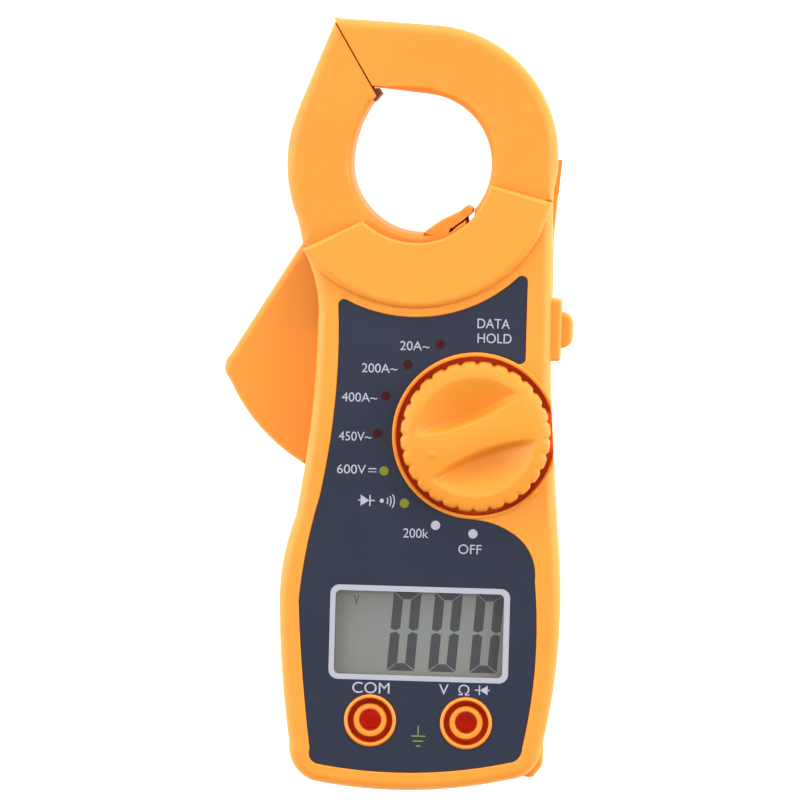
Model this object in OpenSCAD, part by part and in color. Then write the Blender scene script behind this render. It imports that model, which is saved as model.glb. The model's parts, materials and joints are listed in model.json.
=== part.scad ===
// Clamp meter, lying on its back: +Z out of the front face, +Y towards the jaw tip.
// The origin is the middle of the back's resting face, on the line between the sockets.

/* [Case] */
// Height of the front face above the back
face_z = 24; // [23.5:0.1:25]
// Wall thickness of the case mouldings
wall = 2; // [1.8:0.1:2.2]
// Height of the raised crescent collar above the back
collar_z = 25.6; // [25.2:0.1:27]
// Depth of the recess that holds the face label
label_recess = 0.5; // [0.4:0.1:0.6]

/* [Jaw] */
// Radius of the conductor window through the jaw
bore_r = 13.85; // [13.6:0.05:13.9]
// Outer radius of the jaw ring
ring_r = 26; // [25.6:0.1:26.2]
// Width of the iron core strip across the ring
core_w = 4; // [3.6:0.1:4.2]
// Height of the iron core
core_h = 8; // [7:0.5:9]
// Clear gap left between the two jaws where they meet
jaw_gap = 0.3; // [0.2:0.05:0.4]
// Radius of the steel pin that the moving jaw turns on
pin_r = 1.5; // [1.4:0.05:1.6]

/* [Range knob] */
// Radius of the knob
knob_r = 14.8; // [14.4:0.1:15]
// Height of the grip bar's top above the back
knob_top = 29; // [28:0.1:30]
// Scallops round the knob's rim
knob_teeth = 28; // [20:1:32]
// Angle between two range positions
click_deg = 22.5; // [20:0.5:22.5]

/* [Hold button] */
// How far the button stands out of its guard
button_out = 2.3; // [2:0.1:2.5]

/* [Sockets] */
// Distance between the two input sockets, the 3/4 inch standard
socket_pitch = 19.05; // [18.9:0.05:19.2]
// Bore radius of the brass sockets, for a 4 mm plug
socket_r = 2.02; // [2.01:0.01:2.04]

/* [Hidden] */

fine = 72;      // facets of large round faces
small = 28;     // facets of small round faces
eps = 0.01;
far = 120;      // longer than any part of the meter

orange = [1.0, 0.62, 0.24];
deep_orange = [1.0, 0.55, 0.18];
steel = [0.75, 0.76, 0.78];
slate = [0.22, 0.23, 0.3];

// Levels
case_split = 11;               // where the two case halves meet
face_in = face_z - wall;       // inside of the front wall
jaw_lo = 4.6;
jaw_hi = 20.4;
jaw_split = 12.5;
jaw_play = 0.4;                // room between the jaws and the collars
trigger_lo = 5;
trigger_hi = 14;
board_lo = 15.6;
board_hi = 17.2;
tube_top = 19.5;               // top of the brass sockets, inside the case's sleeves
label_lo = face_z - label_recess;
label_hi = label_lo + 0.35;
well_floor = 20.6;             // bottom of the knob's well
well_under = 19.2;
rim_z = face_z + 0.3;          // raised rims round the knob and the sockets

// Places
bore_c = [-2.3, 70.5];
core_c = [-1.6, 71.3];         // centre of the iron ring
core_r = 19.6;                 // radius of the iron ring's middle line
outer_c = [-1.3, 72];          // centre of the fixed jaw's outer curve
collar_c = [-3.2, 70];
collar_in = 15.1;
collar_out = 28;
pivot = [10, 49];
pivot_boss_r = 5.5;
knob_c = [9.9, 17.1];
slot_end = 4;                  // lower end of the trigger's slot in the case wall
well_r = knob_r + 0.9;
rim_r = well_r + 0.8;
socket_y = -40;
socket_rim_r = 5.2;
display_c = [-0.2, -22.5];
button_y = 38.3;
button_z = 17.4;
guard_x = 26.3;
split_angle = 121;             // direction of the tip's split line
split_shift = 1.04;            // how far that line passes left of the bore's centre
joint_angle = -48;             // where the two jaws meet under the collar

case_screw_at = [[-21.3, -45], [21, -45], [20.9, 31], [-22.3, -1.5]];
root_screw_at = [[19, 46], [19, 53.5]];
moving_screw_at = [[-22.6, 86], [-31, 30], [-17.5, 43.5], [1, 46.8]];
fixed_screw_at = [[-9, 95.2], [21.4, 66.6]];
board_screw_at = [[-21, -34.5], [21, -34.5], [-16, 30.5], [21.3, -1]];
door_screw_at = [0, -3.9];
eye_at = [21.95, -48.95];       // middle of the wrist cord's eye
eye_z = 5.2;
eye_r = 1.1;

// Points on the circle through a, b and c, from a up to but not including c
function arc3(a, b, c, n = 6) =
    let (d = 2 * (a.x * (b.y - c.y) + b.x * (c.y - a.y) + c.x * (a.y - b.y)),
         u = ((a * a) * (b.y - c.y) + (b * b) * (c.y - a.y) + (c * c) * (a.y - b.y)) / d,
         v = ((a * a) * (c.x - b.x) + (b * b) * (a.x - c.x) + (c * c) * (b.x - a.x)) / d,
         m = [u, v], r = norm(a - m),
         t0 = atan2(a.y - v, a.x - u), t1 = atan2(c.y - v, c.x - u),
         left = (b.x - a.x) * (c.y - a.y) - (b.y - a.y) * (c.x - a.x) > 0,
         sweep = left ? (t1 - t0 + 720) % 360 : -((t0 - t1 + 720) % 360))
    [for (i = [0:n - 1]) m + r * [cos(t0 + sweep * i / n), sin(t0 + sweep * i / n)]];

// Points on a circle from angle t0 to t1, both included
function arc(m, r, t0, t1, n = 12) =
    [for (i = [0:n]) m + r * [cos(t0 + (t1 - t0) * i / n), sin(t0 + (t1 - t0) * i / n)]];

// An outline that runs counter-clockwise, moved inwards by d
function inset(p, d) =
    [for (i = [0:len(p) - 1])
        let (a = p[(i + len(p) - 1) % len(p)], b = p[i], c = p[(i + 1) % len(p)],
             u = (b - a) / norm(b - a), v = (c - b) / norm(c - b),
             m = [-u.y, u.x], n = [-v.y, v.x])
        b + d * (m + n) / (1 + m * n)];

case_right = concat(
    arc3([18.5, -51.2], [22.7, -49.2], [24.5, -45.5], 4),
    arc3([24.5, -45.5], [27.5, -22], [26.8, -4], 7),
    arc3([26.8, -4], [25.5, 12], [24.4, 28], 4), [[24.4, 28]]);

case_left = concat(
    arc3([-25.2, 53.1], [-22.7, 47], [-21.9, 38], 4),
    arc3([-21.9, 38], [-23.0, 17], [-25.4, 0], 5),
    arc3([-25.4, 0], [-27.3, -7], [-28.2, -16], 3),
    arc3([-28.2, -16], [-27.6, -28], [-25.6, -45], 5),
    arc3([-25.6, -45], [-24.0, -50.3], [-20.7, -52.6], 4),
    arc3([-20.7, -52.6], [-2, -54], [18.5, -51.2], 7));

front_outline = concat(case_right,
    [[23.9, 63.5]], arc(collar_c, collar_in, -12.3, -133.4), case_left);

rear_outline = concat(case_right,
    [[24.2, 56], [25.5, 71.8], [12.6, 71.6]], arc(collar_c, collar_in, -5, -140),
    [[-26.3, 58.2]], case_left);

collar_outline = concat([[23.9, 63.5]], arc(collar_c, collar_in, -12.3, -133.4),
    [[-25.2, 53.1]], arc(collar_c, collar_out, -132, -28, 16));

// Everything between the two jaw levels that the moving jaw may sweep
jaw_passage = concat([[-50, 36.5], [3, 36.5]],
    arc(pivot, pivot_boss_r + 1, -120, 0, 6), [[16.5, 60], [21.6, 60], [21.6, 64.1],
    [23.9, 64.9], [40, 66], [40, 110], [-50, 110]]);

fixed_outline = concat([[16.4, 43.6], [21.5, 43.6], [21.5, 64.2], [23.9, 65]],
    arc(outer_c, ring_r, -14, 86, 20), [[-21.5, 99], [-14, 86.66], [-10.6, 85.24]],
    arc(bore_c, bore_r, 86, joint_angle, 22), [[16.4, 51]]);

moving_ring = concat(
    arc(bore_c, bore_r, joint_angle, -180, 18),
    arc3([-16.1, 71], [-14.8, 77.5], [-11.45, 83.6], 5), [[-11.45, 83.6], [-20.3, 98.1]],
    [[-26.9, 81.1]], arc3([-28.2, 77], [-29, 70.5], [-26.4, 58.4], 6), [[-25.6, 54.5]],
    arc3([-25.6, 54.5], [-10.5, 46.4], [4.6, 45.4], 8), [[10, 43.6]]);

lip_outline = [[-1.6, 56.8], [1.5, 56], [3.4, 57], [4.9, 58.3], [6.4, 59.45], [8.1, 61],
    [8.05, 61.9], [6.9, 62.4], [5.2, 61], [1.8, 59.3]];

trigger_outline = concat([[-25.6, 54.5], [-38.9, 32.7]],
    arc3([-39.7, 31.4], [-40.8, 29], [-40.2, 26.9], 4),
    arc3([-39.4, 25.7], [-33, 16.5], [-23.7, 9.4], 6),
    [[-21, 11], [-19.4, 36], [-10, 42.6], [10, 43.6], [4.6, 50], [-19, 60]]);

// A flat slab of an outline between two levels
module slab(outline, lo, hi) {
    translate([0, 0, lo]) linear_extrude(hi - lo) polygon(outline);
}

// A ring sector of rectangular section about a point
module sector(m, r0, r1, z0, z1, a0, a1) {
    translate([m.x, m.y, 0]) rotate([0, 0, a0])
        rotate_extrude(angle = a1 - a0, $fn = fine)
            translate([r0, z0]) square([r1 - r0, z1 - z0]);
}

module rod(at, r, z0, z1, n = small) {
    translate([at.x, at.y, z0]) cylinder(r = r, h = z1 - z0, $fn = n);
}

module block(x0, x1, y0, y1, z0, z1) {
    translate([x0, y0, z0]) cube([x1 - x0, y1 - y0, z1 - z0]);
}

// Everything on the fixed side of the tip's split line, with half the gap left clear
module fixed_side() {
    translate([bore_c.x, bore_c.y, 0]) rotate([0, 0, split_angle - 90])
        translate([-split_shift + jaw_gap / 2, -2, -5]) cube([far, far, 40]);
}

module moving_side() {
    translate([bore_c.x, bore_c.y, 0]) rotate([0, 0, split_angle - 90])
        translate([-split_shift - jaw_gap / 2 - far, -2, -5]) cube([far, far, 40]);
}

// Cross-head screw pointing up, its head at the bottom
module screw(at, head_z, head_h, tip_z, head_r = 2.1, shank_r = 1.1) {
    difference() {
        union() {
            rod(at, head_r, head_z, head_z + head_h);
            rod(at, shank_r, head_z + head_h - eps, tip_z);
        }
        for (turn = [0, 90])
            translate([at.x, at.y, head_z]) rotate([0, 0, turn])
                cube([2 * head_r * 0.65, 0.5, 1.2], center = true);
    }
}

// Round wire wound about +Z: sides is small because the wire is thin
module coil(mean_r, wire_r, turns, height, steps = 14, sides = 8) {
    rings = turns * steps;
    function ring(i) = let (t = 360 * i / steps)
        [for (k = [0:sides - 1]) let (a = 360 * k / sides, r = mean_r + wire_r * cos(a))
            [r * cos(t), r * sin(t), height * i / rings + wire_r * sin(a)]];
    points = [for (i = [0:rings]) each ring(i)];
    skin = [for (i = [0:rings - 1], k = [0:sides - 1])
        let (a = i * sides + k, b = i * sides + (k + 1) % sides)
        each [[a, b, b + sides], [a, b + sides, a + sides]]];
    ends = [[for (k = [sides - 1:-1:0]) k], [for (k = [0:sides - 1]) rings * sides + k]];
    polyhedron(points, concat(skin, ends));
}

module front_case() {
    tube_floor = 17.6;
    color(orange) difference() {
        union() {
            difference() {
                union() {
                    slab(front_outline, case_split, face_z);
                    slab(collar_outline, jaw_hi + jaw_play, collar_z);
                    button_guard();
                }
                slab(inset(front_outline, wall), case_split - 1, face_in);
                slab(inset(collar_outline, wall), face_in - 2, collar_z - wall);
                slab(jaw_passage, case_split - 1, jaw_hi + jaw_play);
                block(-50, -15, slot_end, 38, case_split - 1, trigger_hi + 0.5);
            }
            intersection() {
                rod(knob_c, rim_r, well_under, rim_z, fine);
                slab(front_outline, 0, far);
            }
            difference() {
                rod(knob_c, 14.2, board_hi + 0.2, well_under + eps, fine);
                rod(knob_c, 12.7, board_hi - 1, well_under, fine);
                detent_notches();
            }
            for (side = [-1, 1])
                rod([side * socket_pitch / 2, socket_y], socket_rim_r, tube_floor, rim_z, fine);
            for (at = case_screw_at)
                rod(at, 2.6, case_split, face_in + eps);
            for (at = board_screw_at)
                rod(at, 2.2, board_hi, face_in + eps);
            for (at = root_screw_at)
                rod(at, 2.4, jaw_hi, face_in + eps);
            rod(pivot, 3.2, jaw_hi + jaw_play, collar_z - wall + eps);
            rod(pivot + [3.1, 0], 1.2, jaw_hi + jaw_play, collar_z - wall + eps);
        }
        label_cut();
        window_cut();
        knob_cut();
        button_cut();
        for (side = [-1, 1])
            socket_cut([side * socket_pitch / 2, socket_y]);
        for (at = concat(case_screw_at, board_screw_at))
            rod(at, 1.12, case_split - 1, face_in);
        for (at = root_screw_at)
            rod(at, 1.12, jaw_hi - 1, collar_z - 1.2);
        rod(pivot, pin_r + 0.02, jaw_hi, collar_z - 1);
        rod(pivot + [3.1, 0], 0.5, jaw_hi, jaw_hi + 2);
    }
}

module detent_notches() {
    for (click = [-4:3])
        translate([knob_c.x, knob_c.y, 0]) rotate([0, 0, 202.5 + click * click_deg])
            rod([12.4, 0], 0.75, board_hi, well_under + 1);
}

module label_outline_solid(lo, hi, grow) {
    left = concat(
        arc3([-17.8, 42.6], [-17.9, 24], [-20.6, 4], 5),
        arc3([-20.6, 4], [-23.2, -8], [-24.2, -16.5], 4),
        arc3([-24.2, -16.5], [-23.3, -29], [-21.3, -46], 4),
        arc3([-21.3, -46], [-21, -48.2], [-19.4, -49], 3));
    right = concat(
        arc3([-19.4, -49], [-2, -50.2], [18.2, -47.6], 7),
        arc3([18.2, -47.6], [19.9, -46.8], [20.7, -44.6], 3),
        arc3([20.7, -44.6], [22.9, -20], [22.3, -11.5], 7),
        arc3([22.3, -11.5], [20.9, -5.3], [17, -1.7], 5),
        arc3([17, -1.7], [13.6, -0.2], [9.9, 0.4], 3),
        [[9.9, 0.4], [14, 10], [19.3, 28], [19.3, 47.6], [18.6, 48.9], [17.4, 48.7]]);
    top = arc(collar_c, 29.8, -47, -107, 12);
    slab(inset(concat(right, top, [[-16.6, 43.4], [-17.4, 43.3]], left), -grow), lo, hi);
}

module label_cut() {
    difference() {
        label_outline_solid(label_lo, far, 0.1);
        rod(knob_c, rim_r - 0.05, 0, far, fine);
        for (side = [-1, 1])
            rod([side * socket_pitch / 2, socket_y], socket_rim_r - 0.05, 0, far, fine);
    }
}

module window_cut() {
    translate([display_c.x, display_c.y, 0]) {
        block(-16.9, 16.9, -8.8, 8.8, 0, far);
        block(-17.9, 17.9, -9.5, 9.5, label_lo - 1.2, far);
    }
}

module knob_cut() {
    rod(knob_c, well_r, well_floor, far, fine);
    rod(knob_c, 3.5, well_under - 1, far);
}

module button_guard() {
    block(22, guard_x, button_y - 6.1, button_y + 6.1, 12.6, 22);
}

module button_cut() {
    block(18, 21.9, button_y - 5, button_y + 5, 13, 21.8);
    block(21.8, 30, button_y - 3.9, button_y + 3.9, button_z - 3.4, button_z + 3.4);
}

module socket_cut(at) {
    difference() {
        rod(at, 4.45, 18.6, far);
        rod(at, 3.35, 0, face_z - 0.4);
    }
    rod(at, 2.2, 0, far);
    rod(at, 2.5, 0, tube_top + 0.1);
}

module rear_case() {
    ceiling = 13.2;
    color(deep_orange) difference() {
        union() {
            difference() {
                slab(rear_outline, 0, case_split);
                slab(inset(rear_outline, wall), wall, far);
                slab(jaw_passage, jaw_lo - jaw_play, far);
                block(-50, -15, slot_end, 38, trigger_lo - 0.5, far);
            }
            battery_box(ceiling);
            strap_lug();
            for (at = case_screw_at)
                rod(at, 3.2, 0, case_split - 0.05);
            for (at = root_screw_at)
                rod(at, 2.4, 1, jaw_lo);
            rod(door_screw_at, 2.6, 1.6, ceiling);
            rod(pivot, 3.2, 1, jaw_lo - jaw_play);
        }
        for (at = case_screw_at) {
            rod(at, 2.3, -1, 3.6);
            rod(at, 1.25, -1, far);
        }
        for (at = root_screw_at) {
            rod(at, 2.3, -1, 2.2);
            rod(at, 1.25, -1, far);
        }
        rod(pivot, pin_r + 0.02, 1.2, far);
        door_cut();
        rod(door_screw_at, 1.12, -1, ceiling - 1);
        translate([eye_at.x, eye_at.y, eye_z]) rotate([90, 0, -45])
            cylinder(r = eye_r, h = 20, center = true, $fn = small);
    }
}

module battery_box(ceiling) {
    difference() {
        intersection() {
            block(-25.8, 25.6, -31.4, -5.2, 1, ceiling + 1);
            union() {
                slab(inset(rear_outline, 1), 0, case_split);
                slab(inset(rear_outline, wall + 0.1), 1, far);
            }
        }
        block(-24.6, 24.4, -30, -6.6, 0, ceiling);
    }
}

module door_cut() {
    block(-24.6, 24.4, -30, -6.6, -1, wall + 1);
    block(-6, 6, -7, -0.8, -1, 1.7);
}

// The corner eye for a wrist cord stands outside the front case's corner
module strap_lug() {
    lug = concat([[16, -45]], arc3([18.5, -51.3], [22.6, -52.3], [24.9, -49.8], 5),
        [[24.9, -49.8], [24.9, -45.6], [20, -42]]);
    slab(lug, 1, 9.4);
}

module face_label() {
    color(slate) difference() {
        label_outline_solid(label_lo, label_hi, 0);
        rod(knob_c, rim_r + 0.1, 0, far, fine);
        for (side = [-1, 1])
            rod([side * socket_pitch / 2, socket_y], socket_rim_r + 0.1, 0, far, fine);
        translate([display_c.x, display_c.y, 0]) block(-17.9, 17.9, -9.5, 9.5, 0, far);
    }
}

module display_window() {
    color([0.8, 0.8, 0.85, 0.4]) translate([display_c.x, display_c.y, 0])
        block(-17.8, 17.8, -9.4, 9.4, label_lo - 1.15, label_hi);
}

module lcd_glass() {
    color([0.55, 0.56, 0.5]) translate([display_c.x, display_c.y, 0])
        block(-16.8, 16.8, -8.7, 8.7, 19.4, 21.8);
}

module lcd_holder() {
    color([0.9, 0.9, 0.88]) translate([display_c.x, display_c.y, 0]) difference() {
        block(-18.2, 18.2, -9.9, 9.9, board_hi, 21.8);
        block(-16.9, 16.9, -8.8, 8.8, 0, far);
    }
}

module zebra_strips() {
    color([0.9, 0.6, 0.65]) for (side = [-1, 1])
        translate([display_c.x, display_c.y + side * 7.4, 0])
            block(-15, 15, -0.9, 0.9, board_hi, 19.4);
}

module circuit_board() {
    color([0.1, 0.4, 0.2]) difference() {
        intersection() {
            slab(inset(front_outline, wall + 0.5), board_lo, board_hi);
            union() {
                block(-40, 40, -60, 33.2, 0, far);
                block(12.5, 18.3, 33, 43, 0, far);
            }
        }
        block(-30, -19.2, 0, 60, 0, far);
        for (at = case_screw_at)
            rod(at, 3, 0, far);
        for (at = board_screw_at)
            rod(at, 1.2, 0, far);
        for (side = [-1, 1])
            rod([side * socket_pitch / 2, socket_y], 2.5, 0, far);
        rod(knob_c, 2.9, 0, far);
    }
}

module meter_chip() {
    color([0.08, 0.08, 0.08]) translate([-12.5, -4.8, board_hi])
        rotate_extrude($fn = fine) polygon(concat(
            arc3([5.2, 0], [3, 1.1], [0, 1.5], 6), [[0, 1.5], [0, 0]]));
}

module resistors() {
    color([0.75, 0.65, 0.45]) for (i = [0:4])
        translate([-18.1 + 2.55 * i, 13 + i, board_hi + 1.15]) rotate([90, 0, 0]) {
            cylinder(r = 1.1, h = 6, center = true, $fn = small);
            cylinder(r = 0.3, h = 9, center = true, $fn = small);
        }
}

module trimmer() {
    color([0.15, 0.3, 0.7]) difference() {
        union() {
            block(0.5, 5.5, -8.6, -3.6, board_hi, board_hi + 2);
            rod([3, -6.1], 1.9, board_hi + 1, board_hi + 2.6);
        }
        block(1.6, 4.4, -6.4, -5.8, board_hi + 2.1, far);
    }
}

module buzzer() {
    color([0.1, 0.1, 0.1]) difference() {
        rod([0, -41], 5.4, 11.2, board_lo, fine);
        rod([0, -41], 1, 11, 12.4);
    }
}

module hold_switch() {
    color([0.2, 0.2, 0.2]) {
        block(13, 16.4, button_y - 3, button_y + 3, board_hi, board_hi + 3.6);
        translate([16.4, button_y, board_hi + 1.8]) rotate([0, 90, 0])
            cylinder(r = 0.9, h = 0.9, $fn = small);
    }
}

module socket(side) {
    at = [side * socket_pitch / 2, socket_y];
    color([0.85, 0.7, 0.35]) difference() {
        union() {
            rod(at, 2.42, 4.6, tube_top);
            rod(at, 3.4, board_lo - 1.2, board_lo);
        }
        rod(at, socket_r, 5.6, far);
    }
}

module socket_com() { socket(-1); }

module socket_volt() { socket(1); }

// Ring channel for the core and its winding, open at the jaw's own end faces
module core_room(a0, a1, w0, w1) {
    sector(core_c, core_r - core_w / 2 - 0.05, core_r + core_w / 2 + 0.05,
        jaw_split - core_h / 2 - 0.05, jaw_split + core_h / 2 + 0.05, a0, a1);
    sector(core_c, core_r - 3.4, 24, jaw_lo + 1.8, jaw_hi - 1.8, w0, w1);
}

module fixed_jaw_body() {
    difference() {
        intersection() {
            slab(fixed_outline, jaw_lo, jaw_hi);
            union() {
                fixed_side();
                block(-2, far, 0, far, -5, far);
            }
        }
        rod(pivot, pivot_boss_r + 0.4, 0, far, fine);
        translate([core_c.x, core_c.y, 0]) rotate([0, 0, joint_angle])
            translate([0, -far, 0]) cube([25.5, far + jaw_gap, far]);
        slab(inset(lip_outline, -jaw_play), 0, far);
        core_room(joint_angle - 2, split_angle + 8, -3, 88);
        for (at = fixed_screw_at) {
            rod(at, 2.2, 0, jaw_lo + 2.6);
            rod(at, 1.12, 0, jaw_hi - 1.5);
        }
        for (at = root_screw_at)
            rod(at, 1.25, 0, far);
    }
}

module fixed_jaw_front() {
    color(orange) intersection() {
        fixed_jaw_body();
        block(-far, far, -far, far, jaw_split, far);
    }
}

module fixed_jaw_rear() {
    color(orange) intersection() {
        fixed_jaw_body();
        block(-far, far, -far, far, 0, jaw_split);
    }
}

module core_ring(a0, a1) {
    sector(core_c, core_r - core_w / 2, core_r + core_w / 2,
        jaw_split - core_h / 2, jaw_split + core_h / 2, a0, a1);
}

module fixed_core() {
    color(steel) intersection() {
        core_ring(joint_angle + 0.6, split_angle + 12);
        union() {
            fixed_side();
            block(-2, far, 0, far, -5, far);
        }
    }
}

module moving_core() {
    color(steel) intersection() {
        core_ring(split_angle - 12, 360 + joint_angle);
        union() {
            moving_side();
            block(-far, -2, 0, bore_c.y, -5, far);
            block(-3, far, 0, bore_c.y, -5, far);
        }
    }
}

module winding(a0, a1) {
    color([0.7, 0.35, 0.12]) difference() {
        sector(core_c, core_r - core_w / 2 - 1.3, core_r + core_w / 2 + 1.3,
            jaw_split - core_h / 2 - 1.4, jaw_split + core_h / 2 + 1.4, a0, a1);
        sector(core_c, core_r - core_w / 2 - 0.1, core_r + core_w / 2 + 0.1,
            jaw_split - core_h / 2 - 0.1, jaw_split + core_h / 2 + 0.1, a0 - 5, a1 + 5);
    }
}

module fixed_coil() { winding(-1, 82); }

module moving_coil() { winding(146, 226); }

module moving_jaw_body() {
    difference() {
        union() {
            intersection() {
                slab(moving_ring, jaw_lo, jaw_hi);
                union() {
                    moving_side();
                    block(-far, far, 0, bore_c.y - 1, -5, far);
                }
            }
            slab(trigger_outline, trigger_lo, trigger_hi);
            rod(pivot, pivot_boss_r, jaw_lo, jaw_hi, fine);
            jaw_lip();
        }
        rod(pivot, pin_r + 0.05, 0, far);
        rod(pivot, 4.3, 17, far);
        core_room(split_angle - 8, 360 + joint_angle + 2, 142, 230);
        for (at = moving_screw_at) {
            rod(at, 2.2, 0, (at.y > 80 ? jaw_lo : trigger_lo) + 2.6);
            rod(at, 1.12, 0, trigger_hi - 1);
        }
    }
}

// Thin tongue of the moving jaw that laps inside the fixed jaw's foot
module jaw_lip() {
    slab(lip_outline, jaw_lo, jaw_hi);
}

module moving_jaw_front() {
    color(orange) intersection() {
        moving_jaw_body();
        block(-far, far, -far, far, jaw_split, far);
    }
}

module moving_jaw_rear() {
    color(orange) intersection() {
        moving_jaw_body();
        block(-far, far, -far, far, 0, jaw_split);
    }
}

module pivot_pin() {
    color(steel) rod(pivot, pin_r, 1.4, collar_z - 1.4);
}

module return_spring() {
    color(steel) {
        translate([pivot.x, pivot.y, 17.6]) coil(3.1, 0.35, 3, 2.4);
        rod(pivot + [3.1, 0], 0.35, 19.9, 22);
    }
}

module dial_knob() {
    grip_w = 5.6;
    color(orange) translate([knob_c.x, knob_c.y, 0]) difference() {
        union() {
            rotate_extrude($fn = fine) polygon(concat(
                [[0, well_floor + 0.35], [knob_r - 0.6, well_floor + 0.35],
                [knob_r, well_floor + 1], [knob_r, 26.4], [knob_r - 2, 28.2]],
                arc3([knob_r - 2.6, 28.2], [7, 26.3], [0, 25.8], 6), [[0, 25.8]]));
            rotate([0, 0, 202.5]) intersection() {
                block(-knob_r, knob_r, -grip_w / 2, grip_w / 2, 24, knob_top);
                cylinder(r = knob_r - 1.2, h = far, $fn = fine);
            }
            translate([0, 0, 18]) cylinder(r = 3.4, h = 6, $fn = small);
        }
        for (i = [0:knob_teeth - 1])
            rotate([0, 0, 360 * (i + 0.5) / knob_teeth])
                translate([knob_r + 0.5, 0, well_floor]) cylinder(r = 1.1, h = far, $fn = small);
        cylinder(r = 1.02, h = 23, $fn = small);
    }
}

module switch_rotor() {
    color([0.92, 0.9, 0.85]) translate([knob_c.x, knob_c.y, 0]) difference() {
        translate([0, 0, 17.5]) cylinder(r = 12.3, h = 1.5, $fn = fine);
        translate([0, 0, 17.95]) cylinder(r = 3.45, h = 2, $fn = small);
        cylinder(r = 1.1, h = far, $fn = small);
        cylinder(r = 2.35, h = 17.75, $fn = small);
        for (side = [0, 180]) rotate([0, 0, 22.5 + side])
            block(7.6, 13, -0.85, 0.85, 17.6, far);
    }
}

module wiper_contacts() {
    color([0.85, 0.5, 0.2]) for (turn = [0, 120, 240])
        translate([knob_c.x, knob_c.y, 0]) rotate([0, 0, turn + 60]) {
            sector([0, 0], 6, 6.8, 17.25, 17.5, -25, 25);
            sector([0, 0], 8, 8.8, 17.25, 17.5, -20, 20);
            block(5.9, 8.9, -1, 1, 17.3, 17.5);
        }
}

module detent_balls() {
    color(steel) for (side = [0, 180])
        translate([knob_c.x, knob_c.y, 0]) rotate([0, 0, 22.5 + side])
            translate([11.85, 0, 18.38]) sphere(r = 0.75, $fn = small);
}

module detent_springs() {
    color(steel) for (side = [0, 180])
        translate([knob_c.x, knob_c.y, 0]) rotate([0, 0, 22.5 + side])
            translate([8, 0, 18.38]) rotate([0, 90, 0]) coil(0.5, 0.14, 5, 2.9, 12);
}

module knob_screw() {
    color(steel) screw(knob_c, 16.2, 1.5, 22.6, 2.2, 1);
}

module hold_button() {
    color(orange) translate([0, button_y, button_z]) {
        block(21.2, guard_x + button_out, -3.6, 3.6, -3.1, 3.1);
        block(20.2, 21.3, -4.5, 4.5, -3.9, 3.9);
        translate([18.9, 0, board_hi + 1.8 - button_z]) rotate([0, 90, 0])
            cylinder(r = 0.9, h = 2, $fn = small);
    }
}

module button_spring() {
    color(steel) translate([16.8, button_y, board_hi + 1.8]) rotate([0, 90, 0])
        coil(1.55, 0.2, 3, 3);
}

// One cell along X, its nub end pointing to +X when way is 1
module cell(y, way) {
    translate([0, y, 7.8]) rotate([0, 90 * way, 0]) translate([0, 0, -20.7]) {
        cylinder(r = 5.2, h = 43.6, $fn = small);
        translate([0, 0, 43]) cylinder(r = 1.9, h = 1.5, $fn = small);
    }
}

module battery_cells() {
    color([0.2, 0.5, 0.3]) {
        cell(-12.9, 1);
        cell(-23.7, -1);
    }
}

module battery_springs() {
    color(steel) {
        translate([-24.2, -12.9, 7.8]) rotate([0, 90, 0]) coil(2.6, 0.3, 3, 3.1);
        translate([24, -23.7, 7.8]) rotate([0, -90, 0]) coil(2.6, 0.3, 3, 2.9);
    }
}

module battery_plates() {
    color(steel) {
        block(23.9, 24.3, -16.5, -9.3, 4, 11.8);
        block(-24.5, -24.1, -27.3, -20.1, 4, 11.8);
    }
}

module battery_door() {
    color(deep_orange) difference() {
        union() {
            block(-24.4, 24.2, -29.8, -6.7, 0, 1.8);
            block(-5.8, 5.8, -7, -1, 0, 1.6);
            difference() {
                block(-24.2, 24, -29.6, -7, 1.5, 3);
                block(-23.3, 23.1, -28.7, -7.9, 1, 4);
            }
        }
        rod(door_screw_at, 1.25, -1, far);
        rod(door_screw_at, 2.2, -1, 0.9);
        for (i = [0:3])
            block(-7, 7, -27 + 1.6 * i, -26.2 + 1.6 * i, -1, 0.4);
    }
}

module door_screw() {
    color(steel) screw(door_screw_at, 0.1, 0.8, 9, 2);
}

module case_screws() {
    color(steel) for (at = case_screw_at)
        screw(at, 1.8, 1.8, 19);
}

module root_screws() {
    color(steel) for (at = root_screw_at)
        screw(at, 0.6, 1.6, 23);
}

module moving_jaw_screws() {
    color(steel) for (at = moving_screw_at)
        screw(at, (at.y > 80 ? jaw_lo : trigger_lo) + 0.8, 1.8, trigger_hi - 1.2);
}

module fixed_jaw_screws() {
    color(steel) for (at = fixed_screw_at)
        screw(at, jaw_lo + 0.8, 1.8, 16);
}

module board_screws() {
    color(steel) for (at = board_screw_at)
        screw(at, board_lo - 1.3, 1.3, 20.5, 2);
}

front_case();
rear_case();
face_label();
display_window();
lcd_glass();
lcd_holder();
zebra_strips();
circuit_board();
meter_chip();
resistors();
trimmer();
buzzer();
hold_switch();
socket_com();
socket_volt();
fixed_jaw_front();
fixed_jaw_rear();
fixed_core();
fixed_coil();
moving_jaw_front();
moving_jaw_rear();
moving_core();
moving_coil();
pivot_pin();
return_spring();
dial_knob();
switch_rotor();
wiper_contacts();
detent_balls();
detent_springs();
knob_screw();
hold_button();
button_spring();
battery_cells();
battery_springs();
battery_plates();
battery_door();
door_screw();
case_screws();
root_screws();
moving_jaw_screws();
fixed_jaw_screws();
board_screws();
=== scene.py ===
"""Clamp meter: what is seen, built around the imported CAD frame. Lengths are in mm until MM scales them."""
import json
import math

import bmesh
import bpy
from mathutils import Matrix, Vector


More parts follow.
